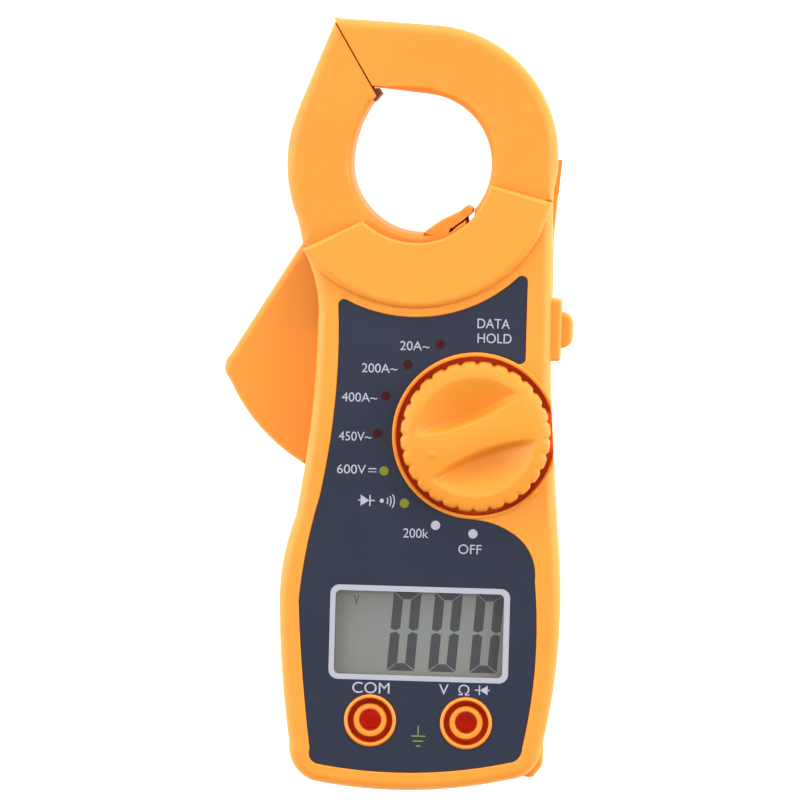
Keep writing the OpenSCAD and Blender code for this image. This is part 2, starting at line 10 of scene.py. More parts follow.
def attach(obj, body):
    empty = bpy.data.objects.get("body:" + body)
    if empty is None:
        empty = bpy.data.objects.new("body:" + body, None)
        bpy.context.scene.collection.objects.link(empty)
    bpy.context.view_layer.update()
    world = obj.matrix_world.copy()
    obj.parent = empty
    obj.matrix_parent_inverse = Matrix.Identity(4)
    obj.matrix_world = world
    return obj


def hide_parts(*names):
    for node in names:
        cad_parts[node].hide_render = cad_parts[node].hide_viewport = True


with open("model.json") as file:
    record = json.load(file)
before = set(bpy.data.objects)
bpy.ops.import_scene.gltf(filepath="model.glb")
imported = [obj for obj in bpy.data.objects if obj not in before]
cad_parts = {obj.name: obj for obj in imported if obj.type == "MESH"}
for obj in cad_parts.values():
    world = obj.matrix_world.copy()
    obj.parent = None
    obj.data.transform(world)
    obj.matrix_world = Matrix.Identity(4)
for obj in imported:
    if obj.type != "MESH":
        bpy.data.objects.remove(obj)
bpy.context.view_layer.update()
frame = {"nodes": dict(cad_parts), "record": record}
nodes = frame["nodes"]

MM = 0.001
STEP = 0.7  # spacing of the points along a curved edge
HIGH, FAR = 60.0, 200.0  # above the meter, and past it to any side

# heights above the back that the meter lies on
CASE_SPLIT, FACE_Z, COLLAR_Z = 11.0, 24.0, 25.6
JAW_LO, JAW_HI, JAW_SPLIT = 4.6, 20.4, 12.5
TRIG_LO, TRIG_HI = 5.0, 14.0
LABEL_LO, LABEL_HI = 23.5, 23.85
WELL_FLOOR, RIM_Z, KNOB_TOP = 20.6, 24.3, 29.0
BOARD_TOP, TUBE_TOP, GLASS_HI = 17.2, 19.5, 21.8
BUTTON_Z, STEM_Z = 17.4, 19.0
SLOT_LO = 7.0  # foot of the slot under the jaw's lip
INK_LIFT, INK_SINK = 0.012, 0.01  # printing above and below its surface

# round features, each a centre and a radius
BORE_C, BORE_R = (-2.3, 70.5), 13.85  # window in the jaw
CORE_C, CORE_R = (-1.6, 71.3), 19.6  # middle line of the iron core
OUTER_C, RING_R = (-1.3, 72.0), 26.0  # outside of the fixed jaw
COLLAR_C, COLLAR_IN, COLLAR_OUT = (-3.2, 70.0), 15.1, 28.0
PIVOT, BOSS_R = (10.0, 49.0), 5.5
KNOB_C, KNOB_R, WELL_R, RIM_R = (9.9, 17.1), 14.8, 15.7, 16.5
SPOT_R = 19.4  # ring of the range spots round the knob

WALL = 2.0
JAW_PLAY, JAW_GAP = 0.4, 0.3  # room round the jaws, and between them
PILOT_R, SHANK_R, PIN_R = 1.12, 1.25, 1.52  # holes for a screw's thread, its shank, the pivot pin
GRIP_ANGLE = 202.5  # the way the knob's pointer looks
SPLIT_ANGLE, SPLIT_SHIFT, JOINT_ANGLE = 121.0, 1.04, -48.0
TRIGGER_ROOM = (-50, -15, 4, 38)  # opening in the case's side, as x and y limits
SOCKETS = ((-9.525, -40.0), (9.525, -40.0))
DISPLAY_C = (-0.2, -22.5)
BUTTON_Y = 38.3
CASE_SCREWS = ((-21.3, -45), (21, -45), (20.9, 31), (-22.3, -1.5))
ROOT_SCREWS = ((19, 46), (19, 53.5))
MOVING_SCREWS = ((-22.6, 86), (-31, 30), (-17.5, 43.5), (1, 46.8))
FIXED_SCREWS = ((-9, 95.2), (21.4, 66.6))
BOARD_SCREWS = ((-21, -34.5), (21, -34.5), (-16, 30.5), (21.3, -1))
DOOR_SCREW = (0, -3.9)


# ---------------- outlines

def arc(m, r, t0, t1, n=None):
    """Points on the circle of radius r round m, from angle t0 to t1 in degrees"""
    n = n or max(3, int(abs(math.radians(t1 - t0)) * r / STEP))
    return [(m[0] + r * math.cos(math.radians(t0 + (t1 - t0) * i / n)),
             m[1] + r * math.sin(math.radians(t0 + (t1 - t0) * i / n))) for i in range(n + 1)]


def arc3(a, b, c):
    """Points on the circle through a, b and c, from a up to but not including c"""
    d = 2 * (a[0] * (b[1] - c[1]) + b[0] * (c[1] - a[1]) + c[0] * (a[1] - b[1]))
    aa, bb, cc = a[0] ** 2 + a[1] ** 2, b[0] ** 2 + b[1] ** 2, c[0] ** 2 + c[1] ** 2
    u = (aa * (b[1] - c[1]) + bb * (c[1] - a[1]) + cc * (a[1] - b[1])) / d
    v = (aa * (c[0] - b[0]) + bb * (a[0] - c[0]) + cc * (b[0] - a[0])) / d
    t0 = math.degrees(math.atan2(a[1] - v, a[0] - u))
    t1 = math.degrees(math.atan2(c[1] - v, c[0] - u))
    left = (b[0] - a[0]) * (c[1] - a[1]) - (b[1] - a[1]) * (c[0] - a[0]) > 0
    sweep = (t1 - t0) % 360 if left else -((t0 - t1) % 360)
    return arc((u, v), math.hypot(a[0] - u, a[1] - v), t0, t0 + sweep)[:-1]


def rounded(points, r, least=12.0):
    """The closed outline with each corner that turns by least degrees or more made an arc of radius r,
    or of its own radius where r is a dictionary by corner"""
    out, n = [], len(points)
    radii = r if isinstance(r, dict) else {}
    common = 0 if isinstance(r, dict) else r
    for i in range(n):
        a, b, c = (Vector(points[(i + k) % n]) for k in (-1, 0, 1))
        u, v = (a - b), (c - b)
        turn = 180 - math.degrees(u.angle(v, math.pi))
        rad = radii.get(i, common)
        if turn < least or rad <= 0:
            out.append(tuple(b))
            continue
        half = math.radians(turn / 2)
        reach = min(rad * math.tan(half), u.length * 0.49 if u.length > 3 else u.length,
                    v.length * 0.49 if v.length > 3 else v.length)
        rad = reach / math.tan(half)
        p, q = b + u.normalized() * reach, b + v.normalized() * reach
        m = b + (u.normalized() + v.normalized()).normalized() * (rad / math.cos(half))
        t0 = math.atan2(p.y - m.y, p.x - m.x)
        t1 = math.atan2(q.y - m.y, q.x - m.x)
        dt = (t1 - t0 + math.pi) % (2 * math.pi) - math.pi
        k = max(3, int(turn / 12))
        out += [(m.x + rad * math.cos(t0 + dt * j / k), m.y + rad * math.sin(t0 + dt * j / k))
                for j in range(k + 1)]
    return out


def tidy(points, gap=0.02):
    """The closed outline without points that repeat the one before"""
    out = []
    for p in points:
        if not out or math.dist(p, out[-1]) > gap:
            out.append(p)
    if math.dist(out[0], out[-1]) <= gap:
        out.pop()
    return out


def inset(points, d, weights=None):
    """The counter-clockwise outline moved inwards by d, with any loop at a corner drawn together"""
    n, out = len(points), []
    for i in range(n):
        a, b, c = (Vector(points[(i + k) % n]) for k in (-1, 0, 1))
        u, v = (b - a).normalized(), (c - b).normalized()
        m = Vector((-u.y, u.x)) + Vector((-v.y, v.x))
        s = d * (weights[i] if weights else 1)
        out.append(tuple(b + m * (s / max(0.35, 1 + u.dot(v)))))
    if abs(d) < 0.05:
        return out
    reach = 26  # the most points that such a loop may have
    for i in range(n):
        p0, p1 = out[i], out[(i + 1) % n]
        for j in range(min(reach, n // 3), 1, -1):
            q0, q1 = out[(i + j) % n], out[(i + j + 1) % n]
            hit = crossing(p0, p1, q0, q1)
            if hit:
                for k in range(1, j + 1):
                    out[(i + k) % n] = hit
                break
    return out


def crossing(a, b, c, d):
    """Where the lines from a to b and from c to d cross, or None"""
    rx, ry, sx, sy = b[0] - a[0], b[1] - a[1], d[0] - c[0], d[1] - c[1]
    den = rx * sy - ry * sx
    if abs(den) < 1e-12:
        return None
    t = ((c[0] - a[0]) * sy - (c[1] - a[1]) * sx) / den
    s = ((c[0] - a[0]) * ry - (c[1] - a[1]) * rx) / den
    inside = 1e-9 < t < 1 - 1e-9 and 1e-9 < s < 1 - 1e-9
    return (a[0] + t * rx, a[1] + t * ry) if inside else None


def rect(x0, x1, y0, y1, r=0.0):
    pts = [(x0, y0), (x1, y0), (x1, y1), (x0, y1)]
    return rounded(pts, r) if r else pts


def placed(points, m, degrees):
    """The points turned about the origin and then moved by m"""
    t = math.radians(degrees)
    return [(m[0] + x * math.cos(t) - y * math.sin(t), m[1] + x * math.sin(t) + y * math.cos(t))
            for x, y in points]


def ribbon(line, w):
    """Outline of a strip of width w along a line of points"""
    left, right = [], []
    for i, p in enumerate(line):
        a, b = Vector(line[max(0, i - 1)]), Vector(line[min(len(line) - 1, i + 1)])
        d = (b - a).normalized() * (w / 2)
        left.append((p[0] - d.y, p[1] + d.x))
        right.append((p[0] + d.y, p[1] - d.x))
    return right + left[::-1]


def circle(m, r, n=72):
    return arc(m, r, 0, 360, n)[:-1]


def fillet(z0, z1, r0=0.0, r1=0.0, n=7):
    """Side of a solid from z0 to z1, as (inset, height): its lower and upper edges are rounded"""
    def quarter(r, z, way):
        return [(r * (1 - math.cos(math.pi / 2 * i / n)),
                 z - way * r * (1 - math.sin(math.pi / 2 * i / n))) for i in range(n + 1)]
    low = quarter(r0, z0, -1)[::-1] if r0 else [(0, z0)]
    high = quarter(r1, z1, 1) if r1 else [(0, z1)]
    return low + high


# ---------------- solids

def make(name, verts, faces):
    """Mesh object from points in mm, repeated points merged and all faces turned outwards"""
    mesh = bpy.data.meshes.new(name)
    mesh.from_pydata([tuple(c * MM for c in v) for v in verts], [], faces)
    bm = bmesh.new()
    bm.from_mesh(mesh)
    bmesh.ops.remove_doubles(bm, verts=bm.verts, dist=1e-7)
    bmesh.ops.dissolve_degenerate(bm, edges=bm.edges, dist=1e-8)
    bmesh.ops.recalc_face_normals(bm, faces=bm.faces)
    bm.to_mesh(mesh)
    bm.free()
    obj = bpy.data.objects.new(name, mesh)
    bpy.context.scene.collection.objects.link(obj)
    return obj


def loft(name, rings, closed=False):
    """Closed solid through rings of equal length; flat ends unless the rings run round to the first"""
    n, verts, faces = len(rings[0]), [], []
    for ring in rings:
        verts += ring
    pairs = [(k, k + 1) for k in range(len(rings) - 1)] + ([(len(rings) - 1, 0)] if closed else [])
    for a, b in pairs:
        faces += [(a * n + i, a * n + (i + 1) % n, b * n + (i + 1) % n, b * n + i) for i in range(n)]
    if not closed:
        faces += [tuple(range(n))[::-1], tuple((len(rings) - 1) * n + i for i in range(n))]
    return make(name, verts, faces)


def solid(name, outline, side, weights=None):
    """Closed solid on an outline, through each (inset, height) of its side"""
    return loft(name, [[(x, y, z) for x, y in inset(outline, d, weights)] for d, z in side])


def slab(outline, z0, z1):
    return loft("slab", [[(x, y, z) for x, y in outline] for z in (z0, z1)])


def rod(m, r, z0, z1, n=48):
    return slab(circle(m, r, n), z0, z1)


def through(m, r, n):
    """Round cutter from the back to above the meter"""
    return rod(m, r, 0, HIGH, n)


def block(x0, x1, y0, y1, z0, z1):
    return slab(rect(x0, x1, y0, y1), z0, z1)


def turned(name, m, profile, n=96):
    """Solid of revolution about +Z at m; profile runs once round its section as (radius, height)"""
    rings = [[(m[0] + max(r, 0.0) * math.cos(2 * math.pi * i / n),
               m[1] + max(r, 0.0) * math.sin(2 * math.pi * i / n), z) for i in range(n)]
             for r, z in profile]
    closed = profile[0][0] > 0.001 or profile[-1][0] > 0.001
    if closed:
        return loft(name, rings, closed=True)
    verts = [v for ring in rings[1:-1] for v in ring]
    verts = [(m[0], m[1], profile[0][1]), *verts, (m[0], m[1], profile[-1][1])]
    k, faces = len(rings) - 2, []
    for i in range(n):
        j = (i + 1) % n
        faces.append((0, 1 + i, 1 + j))
        for a in range(k - 1):
            low, high = 1 + a * n, 1 + (a + 1) * n
            faces.append((low + i, high + i, high + j, low + j))
        faces.append((1 + (k - 1) * n + i, len(verts) - 1, 1 + (k - 1) * n + j))
    return make(name, verts, faces)


def swung(obj, at, to, turn):
    """The solid turned about the point at, which then moves to the point to"""
    obj.data.transform(Matrix.Translation(Vector(to) * MM) @ turn @ Matrix.Translation(-Vector(at) * MM))
    return obj


def join(objs):
    """One object of all their meshes"""
    bm = bmesh.new()
    for o in objs:
        bm.from_mesh(o.data)
    obj = objs[0]
    bm.to_mesh(obj.data)
    bm.free()
    for o in objs[1:]:
        bpy.data.objects.remove(o)
    return obj


def volume(obj):
    bm = bmesh.new()
    bm.from_mesh(obj.data)
    v = bm.calc_volume()
    bm.free()
    return v


def combine(obj, op, *tools, solver="MANIFOLD"):
    """obj with each tool added, cut away or kept to (UNION, DIFFERENCE, INTERSECT)"""
    for tool in tools:
        before = volume(obj)
        mod = obj.modifiers.new("b", "BOOLEAN")
        mod.operation, mod.solver, mod.object = op, solver, tool
        mesh = bpy.data.meshes.new_from_object(obj.evaluated_get(bpy.context.evaluated_depsgraph_get()))
        obj.modifiers.clear()
        obj.data = mesh
        after = volume(obj)
        if abs(after - before) < 1e-15 or after <= 0:
            print("BOOLEAN no change", obj.name, op, tool.name, before, after)
        bpy.data.objects.remove(tool)
    return obj


def add(obj, *tools):
    return combine(obj, "UNION", *tools)


def cut(obj, *tools):
    return combine(obj, "DIFFERENCE", *tools)


def keep(obj, *tools):
    return combine(obj, "INTERSECT", *tools)


def half_plane(side):
    """All on one side of the tip's split, its half of the gap left clear; side 1 is the fixed jaw's"""
    edge = -SPLIT_SHIFT + side * JAW_GAP / 2
    box = rect(edge, edge + FAR, -2, FAR) if side > 0 else rect(edge - FAR, edge, -2, FAR)
    return slab(placed(box, BORE_C, SPLIT_ANGLE - 90), -5, 40)


def shade(obj, angle):
    """Smooth shading up to that angle between faces, with large faces kept flat"""
    for p in obj.data.polygons:
        p.use_smooth = True
    obj.data.set_sharp_from_angle(angle=math.radians(angle))
    mod = obj.modifiers.new("normals", "WEIGHTED_NORMAL")
    mod.keep_sharp = True
    mod.weight = 60
    return obj


# ---------------- materials

def srgb(h):
    """Linear colour of a hex one"""
    v = [int(h[i:i + 2], 16) / 255 for i in (0, 2, 4)]
    return tuple(c / 12.92 if c <= 0.04045 else ((c + 0.055) / 1.055) ** 2.4 for c in v) + (1.0,)


def material(name, colour, rough=0.45, rough_var=0.08, vary=0.06, vary_scale=60.0, grain=0.0,
             grain_scale=3500.0, metal=0.0, coat=0.0, spec=0.5, sss=0.0, alpha=1.0, streak=None, dark=None,
             glow=0.0, hollow_shade=None):
    """Procedural plastic, metal or ink: its colour and roughness vary by vary and rough_var at vary_scale,
    with a fine bump of grain. streak stretches the pattern along an axis, dark is the other end of its
    colours, glow is emission, and hollow_shade is (upper height, lower height, tint): painted shade that
    darkens the colour towards the lower height"""
    m = bpy.data.materials.new(name)
    m.use_nodes = True
    nt = m.node_tree
    b = nt.nodes["Principled BSDF"]
    colour = srgb(colour)
    coord = nt.nodes.new("ShaderNodeTexCoord")

    def noise(scale, detail=3.0, stretch=None):
        t = nt.nodes.new("ShaderNodeTexNoise")
        t.inputs["Scale"].default_value = scale
        t.inputs["Detail"].default_value = detail
        src = coord.outputs["Object"]
        if stretch:
            mp = nt.nodes.new("ShaderNodeMapping")
            mp.inputs["Scale"].default_value = stretch
            nt.links.new(src, mp.inputs["Vector"])
            src = mp.outputs["Vector"]
        nt.links.new(src, t.inputs["Vector"])
        return t.outputs["Fac"]

    ramp = nt.nodes.new("ShaderNodeValToRGB")
    lo = tuple(c * (1 - vary) for c in colour[:3]) + (1,) if dark is None else srgb(dark)
    hi = tuple(min(1.0, c * (1 + vary)) for c in colour[:3]) + (1,)
    for stop, tone, place in zip(ramp.color_ramp.elements, (lo, hi), (0.3, 0.7)):
        stop.color, stop.position = tone, place
    nt.links.new(noise(vary_scale, 4.0, streak), ramp.inputs["Fac"])
    tint = ramp.outputs["Color"]
    # painted shade: below the upper height the colour is multiplied by the tint, fully at the lower height
    if hollow_shade:
        parts = nt.nodes.new("ShaderNodeSeparateXYZ")
        nt.links.new(coord.outputs["Object"], parts.inputs["Vector"])
        depth = nt.nodes.new("ShaderNodeMapRange")
        depth.inputs["From Min"].default_value = hollow_shade[0] * MM
        depth.inputs["From Max"].default_value = hollow_shade[1] * MM
        nt.links.new(parts.outputs["Z"], depth.inputs["Value"])
        mix = nt.nodes.new("ShaderNodeMixRGB")
        mix.blend_type = "MULTIPLY"
        mix.inputs["Color2"].default_value = (*hollow_shade[2], 1)
        nt.links.new(depth.outputs["Result"], mix.inputs["Fac"])
        nt.links.new(tint, mix.inputs["Color1"])
        tint = mix.outputs["Color"]
    nt.links.new(tint, b.inputs["Base Color"])
    if glow > 0:
        nt.links.new(tint, b.inputs["Emission Color"])
        b.inputs["Emission Strength"].default_value = glow
    rr = nt.nodes.new("ShaderNodeMapRange")
    rr.inputs["To Min"].default_value = max(0.02, rough - rough_var)
    rr.inputs["To Max"].default_value = min(1.0, rough + rough_var)
    nt.links.new(noise(vary_scale * 4, 5.0, streak), rr.inputs["Value"])
    nt.links.new(rr.outputs["Result"], b.inputs["Roughness"])
    if grain > 0:
        bump = nt.nodes.new("ShaderNodeBump")
        bump.inputs["Strength"].default_value = grain
        bump.inputs["Distance"].default_value = 0.00008
        nt.links.new(noise(grain_scale, 2.0, streak), bump.inputs["Height"])
        nt.links.new(bump.outputs["Normal"], b.inputs["Normal"])
    b.inputs["Metallic"].default_value = metal
    b.inputs["Specular IOR Level"].default_value = spec
    b.inputs["Coat Weight"].default_value = coat
    b.inputs["Coat Roughness"].default_value = 0.12
    b.inputs["IOR"].default_value = 1.45
    if sss > 0:
        b.inputs["Subsurface Weight"].default_value = sss
        b.inputs["Subsurface Radius"].default_value = (1.0, 0.35, 0.1)
        b.inputs["Subsurface Scale"].default_value = 0.0025
    if alpha < 1:
        b.inputs["Alpha"].default_value = alpha
    return m


ORANGE = dict(rough=0.42, rough_var=0.05, vary=0.025, vary_scale=45.0, grain=0.10, grain_scale=5200.0,
              sss=0.12, spec=0.42)
FINISHES = {
    "case_orange": dict(colour="F29A35", **ORANGE),
    "jaw_orange": dict(colour="F09432", **ORANGE),
    # the knob's scoops get painted shade, darker with depth
    "knob_orange": dict(colour="F0982F", hollow_shade=(28.2, 25.6, (0.9, 0.8, 0.66)), **ORANGE),
    "label_slate": dict(colour="2B3040", rough=0.42, rough_var=0.05, vary=0.05, vary_scale=90.0, grain=0.06,
        grain_scale=6000.0, spec=0.25),
    "clear_lens": dict(colour="C4C8C6", rough=0.05, rough_var=0.02, vary=0.01, alpha=0.04, spec=0.5),
    "lcd_grey": dict(colour="7A7D79", rough=0.30, rough_var=0.04, vary=0.03, vary_scale=70.0, grain=0.02,
        grain_scale=9000.0, spec=0.3),
    "white_plastic": dict(colour="D9D9D2", rough=0.45, vary=0.03, grain=0.05),
    "zebra_rubber": dict(colour="D98A94", rough=0.6, vary=0.25, vary_scale=900.0, streak=(6.0, 0.3, 0.3)),
    "board_green": dict(colour="1F6B3A", rough=0.35, vary=0.12, vary_scale=260.0, coat=0.4, grain=0.15,
        grain_scale=1800.0),
    "black_epoxy": dict(colour="0B0B0C", rough=0.22, vary=0.2, vary_scale=300.0, grain=0.05),
    "resistor_lacquer": dict(colour="B89B67", rough=0.3, vary=0.2, vary_scale=420.0, coat=0.3,
        streak=(1.0, 5.0, 1.0)),
    "blue_plastic": dict(colour="2450A8", rough=0.35, vary=0.06, grain=0.05),
    "black_plastic": dict(colour="161617", rough=0.45, vary=0.15, vary_scale=150.0, grain=0.12),
    "brass": dict(colour="C9A24D", rough=0.28, vary=0.08, vary_scale=220.0, metal=1.0,
        streak=(1.0, 1.0, 0.1), grain=0.05),
    "iron_core": dict(colour="6B6560", rough=0.4, vary=0.18, vary_scale=160.0, metal=0.85,
        streak=(1.0, 1.0, 30.0), grain=0.3, grain_scale=700.0),
    "copper_winding": dict(colour="B4602C", rough=0.32, vary=0.25, vary_scale=500.0, metal=0.9,
        streak=(3.0, 3.0, 0.4), grain=0.4, grain_scale=1500.0),
    "copper_strip": dict(colour="C98A4B", rough=0.25, vary=0.1, vary_scale=200.0, metal=1.0,
        streak=(1.0, 6.0, 1.0), grain=0.06),
    "bright_steel": dict(colour="B9BBBF", rough=0.25, vary=0.06, vary_scale=240.0, metal=1.0,
        streak=(1.0, 1.0, 6.0), grain=0.05),
    "zinc_screw": dict(colour="A9ABA8", rough=0.34, vary=0.12, vary_scale=380.0, metal=1.0, grain=0.15,
        grain_scale=1600.0),
    "cell_jacket": dict(colour="2E7D46", rough=0.3, vary=0.08, vary_scale=120.0, coat=0.3, dark="D8D8D8"),
    "print_white": dict(colour="B2B2C2", rough=0.5, spec=0.3, vary=0.03, vary_scale=800.0, grain=0.05),
    "print_red": dict(colour="3E0B0E", rough=0.5, spec=0.2, vary=0.08, vary_scale=900.0),
    "print_green": dict(colour="7B8122", rough=0.5, spec=0.3, vary=0.05, vary_scale=900.0),
    "print_olive": dict(colour="7C8A4A", rough=0.5, vary=0.05, vary_scale=900.0),
    "frame_lavender": dict(colour="AEB0BC", rough=0.4, vary=0.02, vary_scale=500.0),
    "lcd_ink": dict(colour="2C2C32", rough=0.5, spec=0.2, vary=0.04, vary_scale=600.0),
    # deep red glow in the socket holes: painted shade and painted light through the orange plastic
    "socket_glow": dict(colour="B42410", rough=0.35, vary=0.15, vary_scale=500.0, glow=0.5),
    # deep red with a faint glow: painted shade and painted glow for the gaps and the jaws' tip split
    "painted_gap_shade": dict(colour="DC500F", rough=0.5, vary=0.08, vary_scale=300.0, glow=0.09, spec=0.3),
    "core_dark": dict(colour="6A3420", rough=0.5, vary=0.2, vary_scale=900.0),
}
mats = {name: material(name, **finish) for name, finish in FINISHES.items()}


# ---------------- pieces

SLOT_OF = {row["node"]: row["material_slot"] for row in frame["record"]["subparts"]}


def piece(obj, name, body, mat, replaces=(), angle=32.0):
    """obj as a finished piece in material mat, riding on body, with the CAD parts it replaces hidden"""
    obj.name = name
    obj.data.name = name
    obj.data.materials.clear()
    obj.data.materials.append(mats[mat])
    shade(obj, angle)
    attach(obj, body)
    if replaces:
        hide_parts(*replaces)
    return obj


def paint(obj, mat, where):
    """A second material on the faces for which where(centre, normal) is true"""
    obj.data.materials.append(mats[mat])
    for p in obj.data.polygons:
        c = [sum(obj.data.vertices[v].co[k] for v in p.vertices) / len(p.vertices) / MM for k in range(3)]
        if where(c, p.normal):
            p.material_index = 1


# ---------------- outlines of the meter

case_right = (arc3((18.5, -51.2), (22.7, -49.2), (24.5, -45.5)) + arc3((24.5, -45.5), (27.5, -22), (26.8, -4))
              + arc3((26.8, -4), (25.5, 12), (24.4, 28)) + [(24.4, 28)])
case_left = (arc3((-25.2, 53.1), (-22.7, 47), (-21.9, 38)) + arc3((-21.9, 38), (-23.0, 17), (-25.4, 0))
             + arc3((-25.4, 0), (-27.3, -7), (-28.2, -16)) + arc3((-28.2, -16), (-27.6, -28), (-25.6, -45))
             + arc3((-25.6, -45), (-24.0, -50.3), (-20.7, -52.6))
             + arc3((-20.7, -52.6), (-2, -54), (18.5, -51.2)))
collar_inside = arc(COLLAR_C, COLLAR_IN, -12.3, -133.4)
front_outline = tidy(case_right + [(23.9, 63.5)] + collar_inside + case_left)
rear_outline = tidy(case_right + [(24.2, 56), (25.5, 71.8), (12.6, 71.6)] + arc(COLLAR_C, COLLAR_IN, -5, -140)
                    + [(-26.3, 58.2)] + case_left)
collar_outline = tidy([(23.9, 63.5)] + collar_inside + [(-25.2, 53.1)] + arc(COLLAR_C, COLLAR_OUT, -132, -28))
jaw_passage = ([(-50, 36.5), (3, 36.5)] + arc(PIVOT, BOSS_R + 1, -120, 0, 16)
               + [(16.5, 60), (21.6, 60), (21.6, 64.1), (23.9, 64.9), (40, 66), (40, 110), (-50, 110)])
fixed_ring = tidy([(16.4, 43.6), (21.5, 43.6), (21.5, 63.6), (23.9, 63.6), (23.95, 65)]
                  + arc(OUTER_C, RING_R, -14, 86)
                  + [(-19.7, 98.9), (-26, 99.2), (-17, 85.6), (-10.6, 85.24)]
                  + arc(BORE_C, BORE_R, 86, JOINT_ANGLE) + [(16.4, 51)])
moving_ring = tidy(arc(BORE_C, BORE_R, JOINT_ANGLE, -180) + arc3((-16.1, 71), (-14.8, 77.5), (-11.45, 83.6))
                   + [(-7, 90), (-17.5, 105.1), (-26.9, 81.1)] + arc3((-28.2, 77), (-29, 70.5), (-26.4, 58.4))
                   + [(-25.6, 54.5)] + arc3((-25.6, 54.5), (-10.5, 46.4), (4.6, 45.4)) + [(10, 43.6)])
lip_outline = [(-1.6, 56.8), (1.5, 56), (3.4, 57), (4.9, 58.3), (6.4, 59.45), (8.1, 61), (8.05, 61.9),
               (6.9, 62.4), (5.2, 61), (1.8, 59.3)]
lip_slot = [(8.6, 61.4), (8.07, 60.95), (6.37, 59.45), (4.87, 58.35), (3.5, 57.1)]
trigger_outline = tidy([(-25.6, 54.5), (-38.9, 32.7)] + arc3((-39.7, 31.4), (-40.8, 29), (-40.2, 26.9))
                       + arc3((-39.4, 25.7), (-33, 16.5), (-23.7, 9.4))
                       + [(-21, 11), (-19.4, 36), (-10, 42.6), (10, 43.6), (4.6, 50), (-19, 60)])
label_left = (arc3((-17.8, 42.6), (-17.9, 24), (-20.6, 4))[4:] + arc3((-20.6, 4), (-23.2, -8), (-24.2, -16.5))
              + arc3((-24.2, -16.5), (-23.3, -29), (-21.3, -46))
              + arc3((-21.3, -46), (-21, -48.2), (-19.4, -49)))
label_right = (arc3((-19.4, -49), (-2, -50.2), (18.2, -47.6))
               + arc3((18.2, -47.6), (19.9, -46.8), (20.7, -44.6))
               + arc3((20.7, -44.6), (22.9, -20), (22.3, -11.5))
               + arc3((22.3, -11.5), (20.9, -5.3), (17, -1.7)) + arc3((17, -1.7), (13.6, -0.2), (9.9, 0.4))
               + arc(KNOB_C, RIM_R + 0.1, 270, 64) + [(19.3, 31), (19.3, 50.4)])
label_outline = rounded(tidy(label_right + arc(COLLAR_C, 29.8, -46, -114) + [(-17.87, 44.06)] + label_left),
                        1.05, 50)


def display(half_w, half_h, r):
    """Rounded rectangle round the middle of the display"""
    x, y = DISPLAY_C
    return rect(x - half_w, x + half_w, y - half_h, y + half_h, r)


# ---------------- front case

def posts(shell, places, r, z0, z1, bore, top=None):
    """The shell with a round post at each place, drilled for a screw or a pin"""
    for at in places:
        post = cut(rod(at, r, z0, z1, 40), rod(at, bore, z0 - 1, top or z1 + 1, 24))
        shell = add(shell, post)
    return shell


def raised_collar():
    """The crescent on the case's face, rounded most along its outer arc"""
    weights = []
    for x, y in collar_outline:
        outer = math.dist((x, y), COLLAR_C) > COLLAR_OUT - 0.3 and -24 < x < 23.5
        weights.append(1.0 if outer else 0.32)
    n = len(weights)
    weights = [sum(weights[(i + k) % n] for k in range(-2, 3)) / 5 for i in range(n)]
    return solid("collar", collar_outline, fillet(JAW_HI + JAW_PLAY, COLLAR_Z, 0.15, 1.5, 8), weights)


def knob_rim():
    rim = turned("rim", KNOB_C, [(0, 19.2), (RIM_R, 19.2), (RIM_R, RIM_Z - 0.25), (RIM_R - 0.25, RIM_Z),
                                 (0, RIM_Z)], 144)
    return keep(rim, slab(inset(front_outline, 0.02), 0, HIGH))


def knob_well():
    return turned("well", KNOB_C, [(0, WELL_FLOOR), (WELL_R, WELL_FLOOR), (WELL_R, RIM_Z - 0.35),
                                   (WELL_R + 0.1, RIM_Z - 0.12), (WELL_R + 0.3, RIM_Z), (WELL_R + 0.3, HIGH),
                                   (0, HIGH)], 144)


def label_recess():
    """Shallow recess for the label, its outline grown by the label's play"""
    recess = solid("recess", inset(label_outline, -0.1),
                   [(0.0, LABEL_LO), (0.0, FACE_Z - 0.15), (-0.15, FACE_Z), (-0.3, 30)])
    return cut(recess, through(KNOB_C, RIM_R - 0.05, 144), *[through(m, 5.15, 72) for m in SOCKETS])


def socket_sleeve(m):
    return turned("rim", m, [(0, 17.6), (5.2, 17.6), (5.2, RIM_Z - 0.3), (4.95, RIM_Z - 0.06), (4.8, RIM_Z),
                             (0, RIM_Z)], 72)


def socket_groove(m):
    """The deep ring round a socket's inner sleeve, and the step down to that sleeve's top"""
    return turned("groove", m, [(0, RIM_Z - 0.7), (2.95, RIM_Z - 0.7), (3.2, RIM_Z - 0.8),
                                (3.35, RIM_Z - 1.1), (3.35, 18.6), (4.45, 18.6), (4.45, RIM_Z - 0.4),
                                (4.55, RIM_Z - 0.15), (4.75, RIM_Z), (4.75, HIGH), (0, HIGH)], 72)


def socket_bore(m):
    return turned("bore", m, [(0, 10), (2.5, 10), (2.5, TUBE_TOP + 0.1), (2.2, TUBE_TOP + 0.1),
                              (2.2, RIM_Z - 1.1), (2.3, RIM_Z - 0.85), (2.5, RIM_Z - 0.7), (2.5, HIGH),
                              (0, HIGH)], 64)


